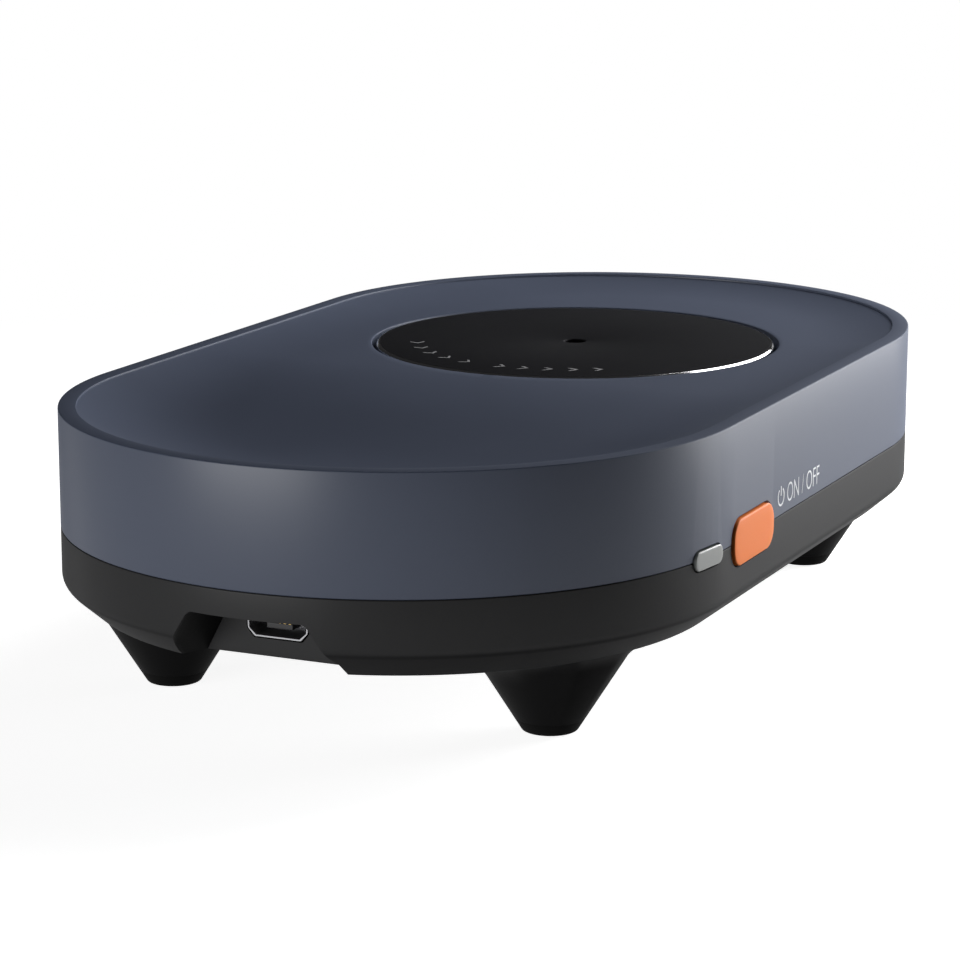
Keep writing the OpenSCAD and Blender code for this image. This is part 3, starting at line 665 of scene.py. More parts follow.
def loft(
    name: str,
    rings: Sequence[Sequence[Sequence[float]]],
    look: Material | None = None,
    closed: bool = False,
    caps: Sequence[Sequence[float]] = (),
) -> Piece:
    """Joins rings of equal count into one closed skin.

    Args:
        name: The piece's name.
        rings: The rings, in order along the skin.
        look: Its material; a tool solid has none.
        closed: Whether the last ring joins the first.
        caps: Middle points that close the first and the last ring, if it isn't closed.

    Returns:
        The new object.
    """
    count = len(rings[0])
    points = [p for ring in rings for p in ring]
    steps = [(i, (i + 1) % count) for i in range(count)]
    faces: Faces = []
    for k in range(len(rings) if closed else len(rings) - 1):
        low, high = k * count, (k + 1) % len(rings) * count
        faces += [(low + i, low + j, high + j, high + i) for i, j in steps]
    if caps:
        first, last, top = len(points), len(points) + 1, (len(rings) - 1) * count
        points += list(caps)
        for i, j in steps:
            faces += [(first, j, i), (last, top + i, top + j)]
    return make_piece(name, points, faces, look)


def carve(piece: Piece, tools: Sequence[Piece], join: Join) -> None:
    """Adds tool solids to a piece, cuts them out of it, or keeps what both share.

    Args:
        piece: The solid that changes.
        tools: The other solids, which are used up.
        join: What to do with them.
    """
    for tool in tools:
        step = piece.modifiers.new("join", "BOOLEAN")
        step.operation = join.value
        step.solver = "EXACT"
        step.object = tool
    bake(piece)
    for tool in tools:
        mesh = tool.data
        bpy.data.objects.remove(tool)
        bpy.data.meshes.remove(mesh)
    tidy_mesh(piece)


def fillet(corners: Sequence[Corner], steps: int = 5) -> list[Point2]:
    """Rounds the corners of an open line.

    Args:
        corners: Each corner's two coordinates and its radius; the ends have radius 0.
        steps: Straight steps that each round corner is drawn with.

    Returns:
        The line's points.
    """
    line: list[Point2] = []
    for i, (x, y, radius) in enumerate(corners):
        here = Vector((x, y))
        if radius <= 0:
            line.append((x, y))
            continue
        before = (Vector(corners[i - 1][:2]) - here).normalized()
        after = (Vector(corners[i + 1][:2]) - here).normalized()
        half = math.acos(max(-1.0, min(1.0, before.dot(after)))) / 2
        reach = radius / math.tan(half)
        centre = here + (before + after).normalized() * (radius / math.sin(half))
        spoke, last = here + before * reach - centre, here + after * reach - centre
        turn = spoke.angle_signed(last)
        for k in range(steps + 1):
            line.append(tuple(centre + Matrix.Rotation(-turn * k / steps, 2) @ spoke))
    return line


def lathe(
    name: str,
    centre: Point2,
    line: Sequence[Point2],
    look: Material | None = None,
    count: int = 96,
    closed: bool = False,
) -> Piece:
    """Turns a line of (radius, height) round an upright axis.

    Args:
        name: The piece's name.
        centre: Where the axis stands.
        line: The line; its ends lie on the axis unless it is closed.
        look: Its material; a tool solid has none.
        count: Steps round the axis.
        closed: Whether the line's end joins its start.

    Returns:
        The new object.
    """
    (x, y), turns = centre, [2 * math.pi * i / count for i in range(count)]
    rings = [[(x + r * math.cos(a), y + r * math.sin(a), z) for a in turns] for r, z in line]
    if closed:
        return loft(name, rings, look, closed=True)
    return loft(name, rings[1:-1], look, caps=((x, y, line[0][1]), (x, y, line[-1][1])))


def rounded_rect(length: float, height: float, radius: float, inset: float = 0.0) -> list[Point2]:
    """Points of a rectangle with round corners, made smaller by inset on every side.

    Args:
        length: Its full length.
        height: Its full height.
        radius: Its corner radius before the inset.
        inset: How far each side moves in.

    Returns:
        The outline's points, the same number for every inset.
    """
    arc_steps, side_steps, least_r = 10, 6, 0.05
    round_r = max(radius - inset, least_r)
    half_l, half_h = length / 2 - inset - round_r, height / 2 - inset - round_r
    arcs = []
    for quarter, (sx, sy) in enumerate([(1, 1), (-1, 1), (-1, -1), (1, -1)]):
        x, y = sx * half_l, sy * half_h
        turns = [math.pi / 2 * (quarter + k / arc_steps) for k in range(arc_steps + 1)]
        arcs.append([(x + round_r * math.cos(a), y + round_r * math.sin(a)) for a in turns])
    points: list[Point2] = []
    for quarter, arc in enumerate(arcs):
        (x0, y0), (x1, y1) = arc[-1], arcs[(quarter + 1) % 4][0]
        points += arc
        for k in range(1, side_steps):
            points.append((x0 + (x1 - x0) * k / side_steps, y0 + (y1 - y0) * k / side_steps))
    return points


def ribbon(inner: Sequence[Vector], outer: Sequence[Vector], rise: Vector) -> tuple[list[Vector], Faces]:
    """A thin strip between two lines, for printed marks.

    Args:
        inner: One line.
        outer: The other line, with as many points.
        rise: Half of the strip's thickness, along its upright.

    Returns:
        The strip's points and faces.
    """
    count = len(inner)
    points = [p + lift for lift in (-rise, rise) for line in (inner, outer) for p in line]
    faces: Faces = []
    for k in range(count - 1):
        a, b, c, d = (n * count + k for n in range(4))
        faces += [(c, c + 1, d + 1, d), (a, b, b + 1, a + 1), (a, a + 1, c + 1, c), (b, d, d + 1, b + 1)]
    a, b, c, d = (n * count for n in range(4))
    last = count - 1
    faces += [(a, c, d, b), (a + last, b + last, d + last, c + last)]
    return points, faces


def finish_piece(piece: Piece, body: Body, replaces: Sequence[str] = ()) -> None:
    """Hands a finished piece to the frame.

    Args:
        piece: The piece.
        body: The body that it rides on.
        replaces: CAD nodes that it stands for.
    """
    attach(piece, body.value)
    if replaces:
        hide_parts(*replaces)
    LOG.info("%s: %d faces on %s", piece.name, len(piece.data.polygons), body.value)


# ---------------------------------------------------------------- repeated pieces


class Repeat(Nodes):
    """Geometry Nodes that set copies of a small shape on a grid or along an arc."""

    def __init__(self, name: str, **sizes: str) -> None:
        """Starts a tree.

        Args:
            name: The tree's name.
            **sizes: The kind of socket of each named input.
        """
        super().__init__(bpy.data.node_groups.new(name, "GeometryNodeTree"))
        kinds = {"Geometry": "Geometry", **sizes, "Finish": "Material"}
        face = self.tree.interface
        self.ids = {
            label: face.new_socket(label, in_out="INPUT", socket_type="NodeSocket" + kind).identifier
            for label, kind in kinds.items()
        }
        face.new_socket("Geometry", in_out="OUTPUT", socket_type="NodeSocketGeometry")
        self.sizes = self.add("NodeGroupInput").outputs

    def geometry(self, kind: str, inputs: dict, **settings: object) -> Link:
        """Adds a node and gives its first output."""
        return self.add(kind, inputs, **settings).outputs[0]

    def close(self, copies: Link) -> None:
        """Realizes the copies, gives them their finish and sends them out.

        Args:
            copies: The instances.
        """
        real = self.geometry("GeometryNodeRealizeInstances", {0: copies})
        finish = {"Geometry": real, "Material": self.sizes["Finish"]}
        self.add("NodeGroupOutput", {0: self.geometry("GeometryNodeSetMaterial", finish)})

    @classmethod
    def on_grid(cls) -> "Repeat":
        """A tree that sets copies at the crossings of a level grid.

        Returns:
            The tree.
        """
        kinds = {"Width": "Float", "Length": "Float", "Columns": "Int", "Rows": "Int", "Middle": "Vector"}
        tree = cls("repeat_on_grid", **kinds)
        sizes = tree.sizes
        axes = {"X": ("Width", "Columns"), "Y": ("Length", "Rows")}
        inputs = {"Size " + axis: sizes[reach] for axis, (reach, _) in axes.items()}
        inputs |= {"Vertices " + axis: sizes[count] for axis, (_, count) in axes.items()}
        grid = tree.geometry("GeometryNodeMeshGrid", inputs)
        moved = tree.geometry("GeometryNodeSetPosition", {"Geometry": grid, "Offset": sizes["Middle"]})
        copies = {"Points": moved, "Instance": sizes["Geometry"]}
        tree.close(tree.geometry("GeometryNodeInstanceOnPoints", copies))
        return tree

    @classmethod
    def on_arc(cls) -> "Repeat":
        """A tree that sets copies along an arc, each turned to face along it.

        Returns:
            The tree.
        """
        kinds = {"Radius": "Float", "Start": "Float", "Sweep": "Float", "Copies": "Int", "Middle": "Vector"}
        tree = cls("repeat_on_arc", **kinds)
        sizes = tree.sizes
        inputs = {"Radius": sizes["Radius"], "Start Angle": sizes["Start"], "Sweep Angle": sizes["Sweep"]}
        arc = tree.geometry("GeometryNodeCurveArc", {"Resolution": 64, **inputs})
        points = tree.add("GeometryNodeCurveToPoints", {"Curve": arc, "Count": sizes["Copies"]})
        ahead = {"Vector": points.outputs["Tangent"]}
        facing = tree.geometry("FunctionNodeAlignRotationToVector", ahead, axis="X", pivot_axis="Z")
        inputs = {"Points": points.outputs[0], "Instance": sizes["Geometry"], "Rotation": facing}
        copies = tree.geometry("GeometryNodeInstanceOnPoints", inputs)
        inputs = {"Instances": copies, "Translation": sizes["Middle"], "Local Space": False}
        tree.close(tree.geometry("GeometryNodeTranslateInstances", inputs))
        return tree

    def apply(self, piece: Piece, **values: object) -> None:
        """Runs the tree on a piece and keeps the result as plain mesh.

        Args:
            piece: The object that holds the small shape.
            **values: The tree's inputs, by name.
        """
        step = piece.modifiers.new("repeat", "NODES")
        step.node_group = self.tree
        for label, value in values.items():
            step[self.ids[label]] = value
        step[self.ids["Finish"]] = piece.data.materials[0]
        bake(piece)
        tidy_mesh(piece)


# ---------------------------------------------------------------- body


@dataclass(frozen=True)
class Outline:
    """The body's stadium outline: two half circles joined by straight sides."""

    end_r: float = END_R
    end_y: float = END_Y
    wall: float = 2.1
    arc_steps: int = 84
    side_steps: int = 32

    @property
    def end(self) -> float:
        """How far the body reaches along Y from its middle."""
        return self.end_r + self.end_y

    def ring(self, inset: float, z: float) -> list[Vector]:
        """The outline, moved in by inset, at height z.

        Args:
            inset: How far in from the outer face it runs.
            z: Its height.

        Returns:
            Its points.
        """
        radius = self.end_r - inset
        points: list[Vector] = []
        for side in (1, -1):
            for k in range(self.side_steps):
                y = side * self.end_y * (2 * k / self.side_steps - 1)
                points.append(Vector((side * radius, y, z)))
            for k in range(self.arc_steps):
                a = math.pi * k / self.arc_steps
                x, y = side * radius * math.cos(a), side * (self.end_y + radius * math.sin(a))
                points.append(Vector((x, y, z)))
        return points

    def inside(self, x: float, y: float) -> float:
        """How far the point lies in from the body's outer face."""
        return self.end_r - math.hypot(x, max(abs(y) - self.end_y, 0.0))

    def rings(self, line: Sequence[Point2]) -> list[list[Vector]]:
        """A ring for each (inset, height) of a line."""
        return [self.ring(inset, z) for inset, z in line]


@dataclass(frozen=True)
class Feet:
    """The four hollow conical feet and their rubber pads."""

    x: float = middle("foot_pad_fr", X)
    y: float = middle("foot_pad_rr", Y)
    tip_r: float = 3.1
    flare: float = 0.625
    low_edge_r: float = 0.12
    blend_r: float = 8.0
    least_blend_r: float = 0.3
    pad_h: float = 1.5
    pad_edge_r: float = 0.5
    plug_h: float = 2.4
    plug_gap: float = 0.05
    hollow_r: float = 1.705
    hollow_d: float = 0.25
    hollow_slope: float = 0.3
    hollow_edge_r: float = 0.1
    plug_edge_r: float = 0.2
    bore_r: float = 2.3
    seat_z: float = 9.5
    hole_r: float = 1.45
    boss_r: float = 3.5
    boss_z: float = 16.0
    boss_in: float = 0.6
    cone_in: float = 0.8
    spokes: int = 96
    pad_steps: int = 64
    hole_steps: int = 48

    def places(self) -> list[Point2]:
        """Where the feet stand."""
        return [(sx * self.x, sy * self.y) for sx in (-1, 1) for sy in (-1, 1)]

    def cone(self, outline: Outline, at: Point2, inset: float) -> Piece:
        """One foot as a solid that flares into the underside.

        Args:
            outline: The body's outline, which the flare stays inside.
            at: Where the foot stands.
            inset: How far in from the outer face the flare has to stay.

        Returns:
            The solid.
        """
        top_r, low_r = (self.tip_r + self.flare * z for z in (UNDER_Z, self.pad_h))
        spread = math.tan(math.atan(1 / self.flare) / 2)
        over_z, room_step, flat = UNDER_Z + self.cone_in, 0.01, 0.2
        columns = []
        for k in range(self.spokes):
            turn = 2 * math.pi * k / self.spokes
            spoke = Vector((math.cos(turn), math.sin(turn)))
            room = top_r + self.blend_r * spread
            while outline.inside(*(Vector(at) + spoke * room)) < inset:
                room -= room_step
            blend = max((room - top_r) / spread, self.least_blend_r)
            flat_r = top_r + blend * spread + flat
            corners = [(low_r, self.pad_h, self.low_edge_r), (top_r, UNDER_Z, blend)]
            line = fillet([(0.0, self.pad_h, 0.0), *corners, (flat_r, UNDER_Z, 0.0)], steps=10)
            line = [*line[1:], (flat_r, over_z)]
            columns.append([(*(Vector(at) + spoke * min(r, room)), z) for r, z in line])
        return loft("foot", list(zip(*columns)), caps=((*at, self.pad_h), (*at, over_z)))

    def post(self, at: Point2, *parts: Point3) -> Piece:
        """A round post over a foot's place, from each step's radius, foot and top."""
        line = [(r, z) for r, low, high in parts for z in (low, high)]
        return lathe("post", at, [(0.0, line[0][1]), *line, (0.0, line[-1][1])], count=self.hole_steps)

    def bore(self, at: Point2) -> Piece:
        """The screw's counterbore and hole, as a solid to cut out."""
        counterbore = (self.bore_r, self.pad_h - PAST, self.seat_z)
        return self.post(at, counterbore, (self.hole_r, self.seat_z, self.boss_z + PAST))

    def boss(self, at: Point2) -> Piece:
        """The boss over a foot, inside the base, as a solid to add."""
        return self.post(at, (self.boss_r, UNDER_Z + self.boss_in, self.boss_z))

    def pads(self, grid: Repeat) -> None:
        """The four rubber pads, each with its plug, as one piece.

        Args:
            grid: The tree that sets one pad at each foot.
        """
        top_r = self.tip_r + self.flare * self.pad_h
        plug_r, plug_z = self.bore_r - self.plug_gap, self.pad_h + self.plug_h
        line = fillet(
            [
                (0.0, self.hollow_d, 0.0),
                (self.hollow_r - self.hollow_slope, self.hollow_d, self.hollow_edge_r),
                (self.hollow_r, 0.0, self.hollow_edge_r),
                (self.tip_r, 0.0, self.pad_edge_r),
                (top_r, self.pad_h, 0.0),
                (plug_r, self.pad_h, 0.0),
                (plug_r, plug_z, self.plug_edge_r),
                (0.0, plug_z, 0.0),
            ]
        )
        pads = lathe("foot_pads", (0.0, 0.0), line, material("black_rubber"), self.pad_steps)
        reach = {"Width": 2 * self.x * MM, "Length": 2 * self.y * MM}
        grid.apply(pads, **reach, Columns=2, Rows=2, Middle=(0, 0, 0))
        nodes = ["foot_pad_" + corner for corner in ("fl", "fr", "rl", "rr")]
        finish_piece(pads, Body.HOUSING, nodes)


@dataclass(frozen=True)
class SideControls:
    """The power button, the status lens and the marks beside them."""

    outline: Outline
    gap: float = 0.15
    opening_flare: float = 0.15
    button_y: float = middle("power_button", Y)
    button_z: float = middle("power_button", Z)
    button_l: float = 13.2
    button_h: float = 5.4
    button_r: float = 2.3
    button_face_x: float = span("power_button", X)[1]
    flange_x: float = span("power_button", X)[0]
    flange_t: float = 1.1
    flange_over: float = 0.7
    lens_l: float = 6.3
    lens_h: float = 2.2
    lens_r: float = 0.95
    lens_z: float = middle("status_lens", Z)
    lens_turn: float = 7.6
    lens_face_r: float = 40.2
    lens_flange_r: float = 37.45
    lens_flange_t: float = 0.9
    lens_flange_over: float = 0.5
    lens_stem_l: float = 2.2
    lens_stem_w: float = 3.0
    lens_stem_r: float = 0.4
    lens_stem_in: float = 0.2
    # How far the front's rim drops, the radius of its edge, and how far in the rim reaches
    button_edge: Point3 = (0.03, 0.2, 1.2)
    lens_edge: Point3 = (0.02, 0.15, 0.6)
    print_t: float = 0.02
    symbol_y: float = -12.4
    symbol_z: float = 21.75
    symbol_r: float = 1.15
    symbol_stroke: float = 0.24
    # Where the ring starts and how far it runs, in degrees, and the stroke's foot and top
    symbol_turn: Point2 = (125.0, 290.0)
    symbol_bar: Point2 = (0.1, 1.25)
    symbol_steps: int = 40
    words_y: float = -10.4
    words_z: float = 20.6
    words_size: float = 3.35
    words_narrow: float = 0.84
    words_thin: float = -0.035

    def at_button(self, point: Vector) -> Vector:
        """Puts a point drawn round the X axis at the button."""
        return point + Vector((0, self.button_y, self.button_z))

    def at_lens(self, point: Vector) -> Vector:
        """Puts a point drawn round the X axis at the lens, on the body's round end."""
        turn = Matrix.Rotation(math.radians(-self.lens_turn), 3, "Z")
        return turn @ (point + Vector((0, 0, self.lens_z))) + Vector((0, -self.outline.end_y, 0))

    def plate(
        self,
        name: str,
        measures: Point3,
        line: Sequence[Point2],
        place: Callable[[Vector], Vector],
        look: Material | None = None,
    ) -> Piece:
        """A solid whose sections across X are rectangles with round corners.

        Args:
            name: The piece's name.
            measures: Length along Y, height along Z and corner radius.
            line: Inset and X of each section, from the back to the front.
            place: Puts a point, drawn round the X axis, in its place.
            look: Its material; a tool solid has none.

        Returns:
            The solid.
        """
        rings = [[Vector((x, *p)) for p in rounded_rect(*measures, inset)] for inset, x in line]
        (_, back_x), (_, face_x) = line[0], line[-1]
        # Smaller rings across the front keep the edge's round shading at the edge
        edge, face_rings = rings[-1], 5
        for k in range(1, face_rings + 1):
            share = 1 - k / (face_rings + 1)
            rings.append([Vector((face_x, p.y * share, p.z * share)) for p in edge])
        placed = [[place(p) for p in ring] for ring in rings]
        return loft(name, placed, look, caps=[place(Vector((x, 0, 0))) for x in (back_x, face_x)])

    def openings(self) -> list[Piece]:
        """The holes for the button and the lens, as solids to cut out, a little flared outside.

        Returns:
            The two solids.
        """
        face, gap, wide = self.outline.end_r, -self.gap, -self.gap - self.opening_flare
        behind, flare_from, flare_to, ahead = (face + x for x in (-5 * PAST, -0.12, 0.03, 3 * PAST))
        line = [(gap, behind), (gap, flare_from), (wide, flare_to), (wide, ahead)]
        button = (self.button_l, self.button_h, self.button_r)
        lens = (self.lens_l, self.lens_h, self.lens_r)
        places = ((button, self.at_button), (lens, self.at_lens))
        return [self.plate("opening", measures, line, place) for measures, place in places]

    def button(self) -> None:
        """The power button: a key with eased edges and a retaining flange behind the wall."""
        flange, face = self.flange_x + self.flange_t, self.button_face_x
        drop, edge_r, rim = self.button_edge
        front = fillet([(0.0, flange, 0.0), (0.0, face - drop, edge_r), (rim, face, 0.0)], steps=6)
        line = [(-self.flange_over, self.flange_x), (-self.flange_over, flange), *front]
        measures = (self.button_l, self.button_h, self.button_r)
        key = self.plate("power_key", measures, line, self.at_button, material("button_orange"))
        finish_piece(key, Body.BUTTON, ["power_button"])

    def lens(self) -> None:
        """The status lens: a light pipe with a flange and a stem."""
        flange, face, over = self.lens_flange_r, self.lens_face_r, self.lens_flange_over
        look, back = material("lens_grey"), flange - self.lens_flange_t
        drop, edge_r, rim = self.lens_edge
        front = fillet([(0.0, flange, 0.0), (0.0, face - drop, edge_r), (rim, face, 0.0)])
        line = [(-over, back), (-over, flange), *front]
        measures = (self.lens_l, self.lens_h, self.lens_r)
        pipe = self.plate("status_window", measures, line, self.at_lens, look)
        line = [(0.0, back - self.lens_stem_l), (0.0, back + self.lens_stem_in)]
        measures = (self.lens_stem_w, self.lens_h, self.lens_stem_r)
        carve(pipe, [self.plate("stem", measures, line, self.at_lens, look)], Join.ADD)
        finish_piece(pipe, Body.HOUSING, ["status_lens"])

    def symbol(self) -> None:
        """The printed power symbol: an open ring with a stroke in its gap."""
        middle_point = Vector((self.outline.end_r, self.symbol_y, self.symbol_z))
        stroke, rise = self.symbol_stroke, Vector((self.print_t, 0, 0))
        (start, sweep), steps = self.symbol_turn, self.symbol_steps
        turns = [math.radians(start + sweep * k / steps) for k in range(steps + 1)]
        radii = (self.symbol_r - stroke, self.symbol_r)
        ring = [[(r * math.cos(a), r * math.sin(a)) for a in turns] for r in radii]
        bar = [[(y, z) for z in self.symbol_bar] for y in (-stroke / 2, stroke / 2)]
        points: list[Vector] = []
        faces: Faces = []
        for lines in (ring, bar):
            inner, outer = ([middle_point + Vector((0, *p)) for p in line] for line in lines)
            more_points, more_faces = ribbon(inner, outer, rise)
            faces += [tuple(i + len(points) for i in face) for face in more_faces]
            points += more_points
        symbol = make_piece("power_symbol", points, faces, material("side_print"))
        finish_piece(symbol, Body.HOUSING)

    def words(self) -> None:
        """The printed words ON and OFF beside the symbol."""
        curve = bpy.data.curves.new("on_off", "FONT")
        curve.body = "ON / OFF"
        curve.size = self.words_size * MM
        curve.extrude = self.print_t * MM
        curve.offset = self.words_thin * MM
        text = put("on_off_words", curve)
        mesh = plain_mesh(text)
        bpy.data.objects.remove(text)
        face, y, z = (v * MM for v in (self.outline.end_r, self.words_y, self.words_z))
        mesh.transform(Matrix(((0, 0, 1, face), (self.words_narrow, 0, 0, y), (0, 1, 0, z), (0, 0, 0, 1))))
        mesh.materials.clear()
        mesh.materials.append(material("side_print"))
        piece = put("on_off_words", mesh)
        tidy_mesh(piece)
        finish_piece(piece, Body.HOUSING)


@dataclass(frozen=True)
class Turntable:
    """The turning disc, its bright edge and the marks on it."""

    y: float = middle("turntable_plate", Y)
    top_z: float = span("turntable_plate", Z)[1]
    disc_t: float = size("turntable_plate", Z)
    disc_r: float = span("turntable_plate", X)[1]
    rim_r: float = span("turntable_trim", X)[1]
    hole_r: float = span("spindle", X)[1]
    bevel: float = 0.23
    trim_sunk: float = 0.02
    edge_h: float = 0.3
    edge_r: float = 0.04
    hole_edge_r: float = 0.22
    bevel_edge_r: float = 0.05
    trim_low_r: float = 0.1
    well_gap: float = 0.6
    steps: int = 192
    mark_r: float = 20.4
    mark_half: float = 0.9
    mark_arm: float = 0.65
    mark_stroke: float = 0.27
    mark_t: float = 0.012
    mark_lift: float = 0.004
    mark_count: int = 5
    # Name of each run of chevrons, and its start and sweep in degrees
    mark_runs: tuple[tuple[str, float, float], ...] = (("left", -152.0, 43.0), ("right", -94.0, 35.0))

    @property
    def low_z(self) -> float:
        """Height of the disc's underside."""
        return self.top_z - self.disc_t

    @property
    def well_r(self) -> float:
        """Radius of the well that the disc turns in."""
        return self.rim_r + self.well_gap

    def turned(self, name: str, corners: Sequence[Corner], slot: str, node: str) -> None:
        """Turns a closed section round the disc's axis and finishes it.

        Args:
            name: The piece's name.
            corners: The section's corners, each with the radius of its edge.
            slot: Its material slot.
            node: The CAD node that it stands for.
        """
        line = fillet(corners, steps=4)
        piece = lathe(name, (0, self.y), line, material(slot), self.steps, closed=True)
        finish_piece(piece, Body.TURNTABLE, [node])

    def plate(self) -> None:
        """The black disc, with eased edges at its hole."""
        low, high, hole_r, disc_r = self.low_z, self.top_z, self.hole_r, self.disc_r
        start = (disc_r, low + self.edge_h, 0.0)
        top = [(disc_r, high, self.edge_r), (hole_r, high, self.hole_edge_r)]
        corners = [start, *top, (hole_r, low, 0.0), (disc_r, low, 0.0)]
        self.turned("disc_plate", corners, "disc_black", "turntable_plate")

    def trim(self) -> None:
        """The polished ring round the disc, with a narrow chamfer up and outwards."""
        low, high, outer, disc_r = self.low_z, self.top_z, self.rim_r, self.disc_r
        inside = [(disc_r, low + self.edge_h, 0.0), (disc_r, low, 0.0)]
        top, edge_r = high - self.trim_sunk, self.bevel_edge_r
        chamfer = [(outer, high - self.bevel, edge_r), (outer - self.bevel, top, edge_r)]
        corners = [*inside, (outer, low, self.trim_low_r), *chamfer, (disc_r, top, 0.0)]
        self.turned("disc_edge", corners, "polished_trim", "turntable_trim")

    def marks(self, arc: Repeat) -> None:
        """Two runs of small printed chevrons that show which way the disc turns.

        Args:
            arc: The tree that sets chevrons along an arc.
        """
        half, arm, wide = self.mark_half, self.mark_arm, self.mark_stroke * 1.5
        outline = [(-arm, half), (-arm + wide, half), (arm, 0), (-arm + wide, -half)]
        outline += [(-arm, -half), (arm - wide, 0)]
        points = [(x, y, z) for z in (-self.mark_t, self.mark_t) for x, y in outline]
        faces = [(0, 1, 2, 5), (2, 3, 4, 5), (11, 8, 7, 6), (11, 10, 9, 8)]
        faces += [(k, (k + 1) % 6, (k + 1) % 6 + 6, k + 6) for k in range(6)]
        centre = (0, self.y * MM, (self.top_z + self.mark_lift) * MM)
        place = {"Radius": self.mark_r * MM, "Copies": self.mark_count, "Middle": centre}
        for name, start, sweep in self.mark_runs:
            run = make_piece("turn_marks_" + name, points, faces, material("disc_print"))
            arc.apply(run, Start=math.radians(start), Sweep=math.radians(sweep), **place)
            finish_piece(run, Body.TURNTABLE)


@dataclass(frozen=True)
class TopShell:
    """The blue shell: upright wall, flat rim, dished tray and the disc's well."""

    outline: Outline
    table: Turntable
    rim_z: float = span("top_housing", Z)[1]
    roof_z: float = span("spindle_bush", Z)[0]
    well_z: float = 28.6
    step: float = 0.25
    deck: float = 1.4
    bowl: float = 4.2
    cove: float = 11.0
    bowl_cove: float = 20.0
    ramp: float = 42.0
    power: float = 2.4
    bush_r: float = 3.0
    lip: float = 1.1
    lip_h: float = 1.3
    seam_edge_r: float = 0.16
    rim_edge_r: Point2 = (0.15, 0.08)
    well_edge_r: Point2 = (0.15, 0.3)
    tray_rings: int = 44
    tray_crowd: float = 1.5

    def depth(self, x: float, y: float) -> float:
        """How far the tray's surface lies below the rim.

        Args:
            x: The point's place across the body.
            y: Its place along the body.

        Returns:
            The depth, from the curved edge to the flat deck or the deep end.
        """
        u = min(max((self.table.y - self.table.well_r - y) / self.ramp, 0.0), 1.0)
        k = u * u * (3 - 2 * u)
        width = self.cove + (self.bowl_cove - self.cove) * k
        depth = self.deck + (self.bowl - self.deck) * k
        reach = max(self.outline.inside(x, y) - self.outline.wall, 0.0)
        share = min(reach / width, 1.0)
        return self.step + (depth - self.step) * (1 - (1 - share) ** self.power)

    def around_disc(self, radius: float, z: float) -> list[Vector]:
        """A circle round the disc's axis, with a point for each point of the rim's ring."""
        centre, ring = Vector((0, self.table.y, 0)), self.outline.ring(self.outline.wall, 0)
        return [centre + (p - centre).normalized() * radius + Vector((0, 0, z)) for p in ring]

    def tray(self) -> list[list[Vector]]:
        """Rings of the tray's surface, from the rim to the edge of the disc's well.

        Returns:
            The rings, closer together near the rim.
        """
        start = self.outline.ring(self.outline.wall, 0)
        end = self.around_disc(self.table.well_r + self.well_edge_r[0], 0)
        rings = []
        for k in range(1, self.tray_rings + 1):
            share = (k / self.tray_rings) ** self.tray_crowd
            rings.append([p.lerp(q, share) for p, q in zip(start, end)])
            for point in rings[-1]:
                point.z = self.rim_z - self.depth(point.x, point.y)
        return rings

    def build(self, openings: Sequence[Piece]) -> None:
        """Makes the shell and cuts the openings in it.

        Args:
            openings: The holes' solids, which are used up.
        """
        wall, rim, well_r, lip_z = self.outline.wall, self.rim_z, self.table.well_r, SEAM_Z + self.lip_h
        outer_r, inner_r = self.rim_edge_r
        side = [(self.lip, SEAM_Z, 0.0), (0.0, SEAM_Z, self.seam_edge_r)]
        top = [(0.0, rim, outer_r), (wall, rim, inner_r), (wall, rim - self.step, 0.0)]
        rings = self.outline.rings(fillet([*side, *top], steps=4)) + self.tray()
        edge_r, foot_r = self.well_edge_r
        # The tray's last ring stands for the first point, which only gives the edge its direction
        edge = [(well_r + PAST, rim - self.deck, 0.0), (well_r, rim - self.deck, edge_r)]
        floor = [(well_r, self.well_z, foot_r), (self.bush_r, self.well_z, 0.0)]
        well = [*fillet([*edge, *floor], steps=3)[1:], (self.bush_r, self.roof_z)]
        rings += [self.around_disc(r, z) for r, z in well]
        rings += self.outline.rings([(wall, self.roof_z), (wall, lip_z), (self.lip, lip_z)])
        shell = loft("top_shell", rings, material("blue_shell"), closed=True)
        carve(shell, openings, Join.CUT)
        finish_piece(shell, Body.HOUSING, ["top_housing"])


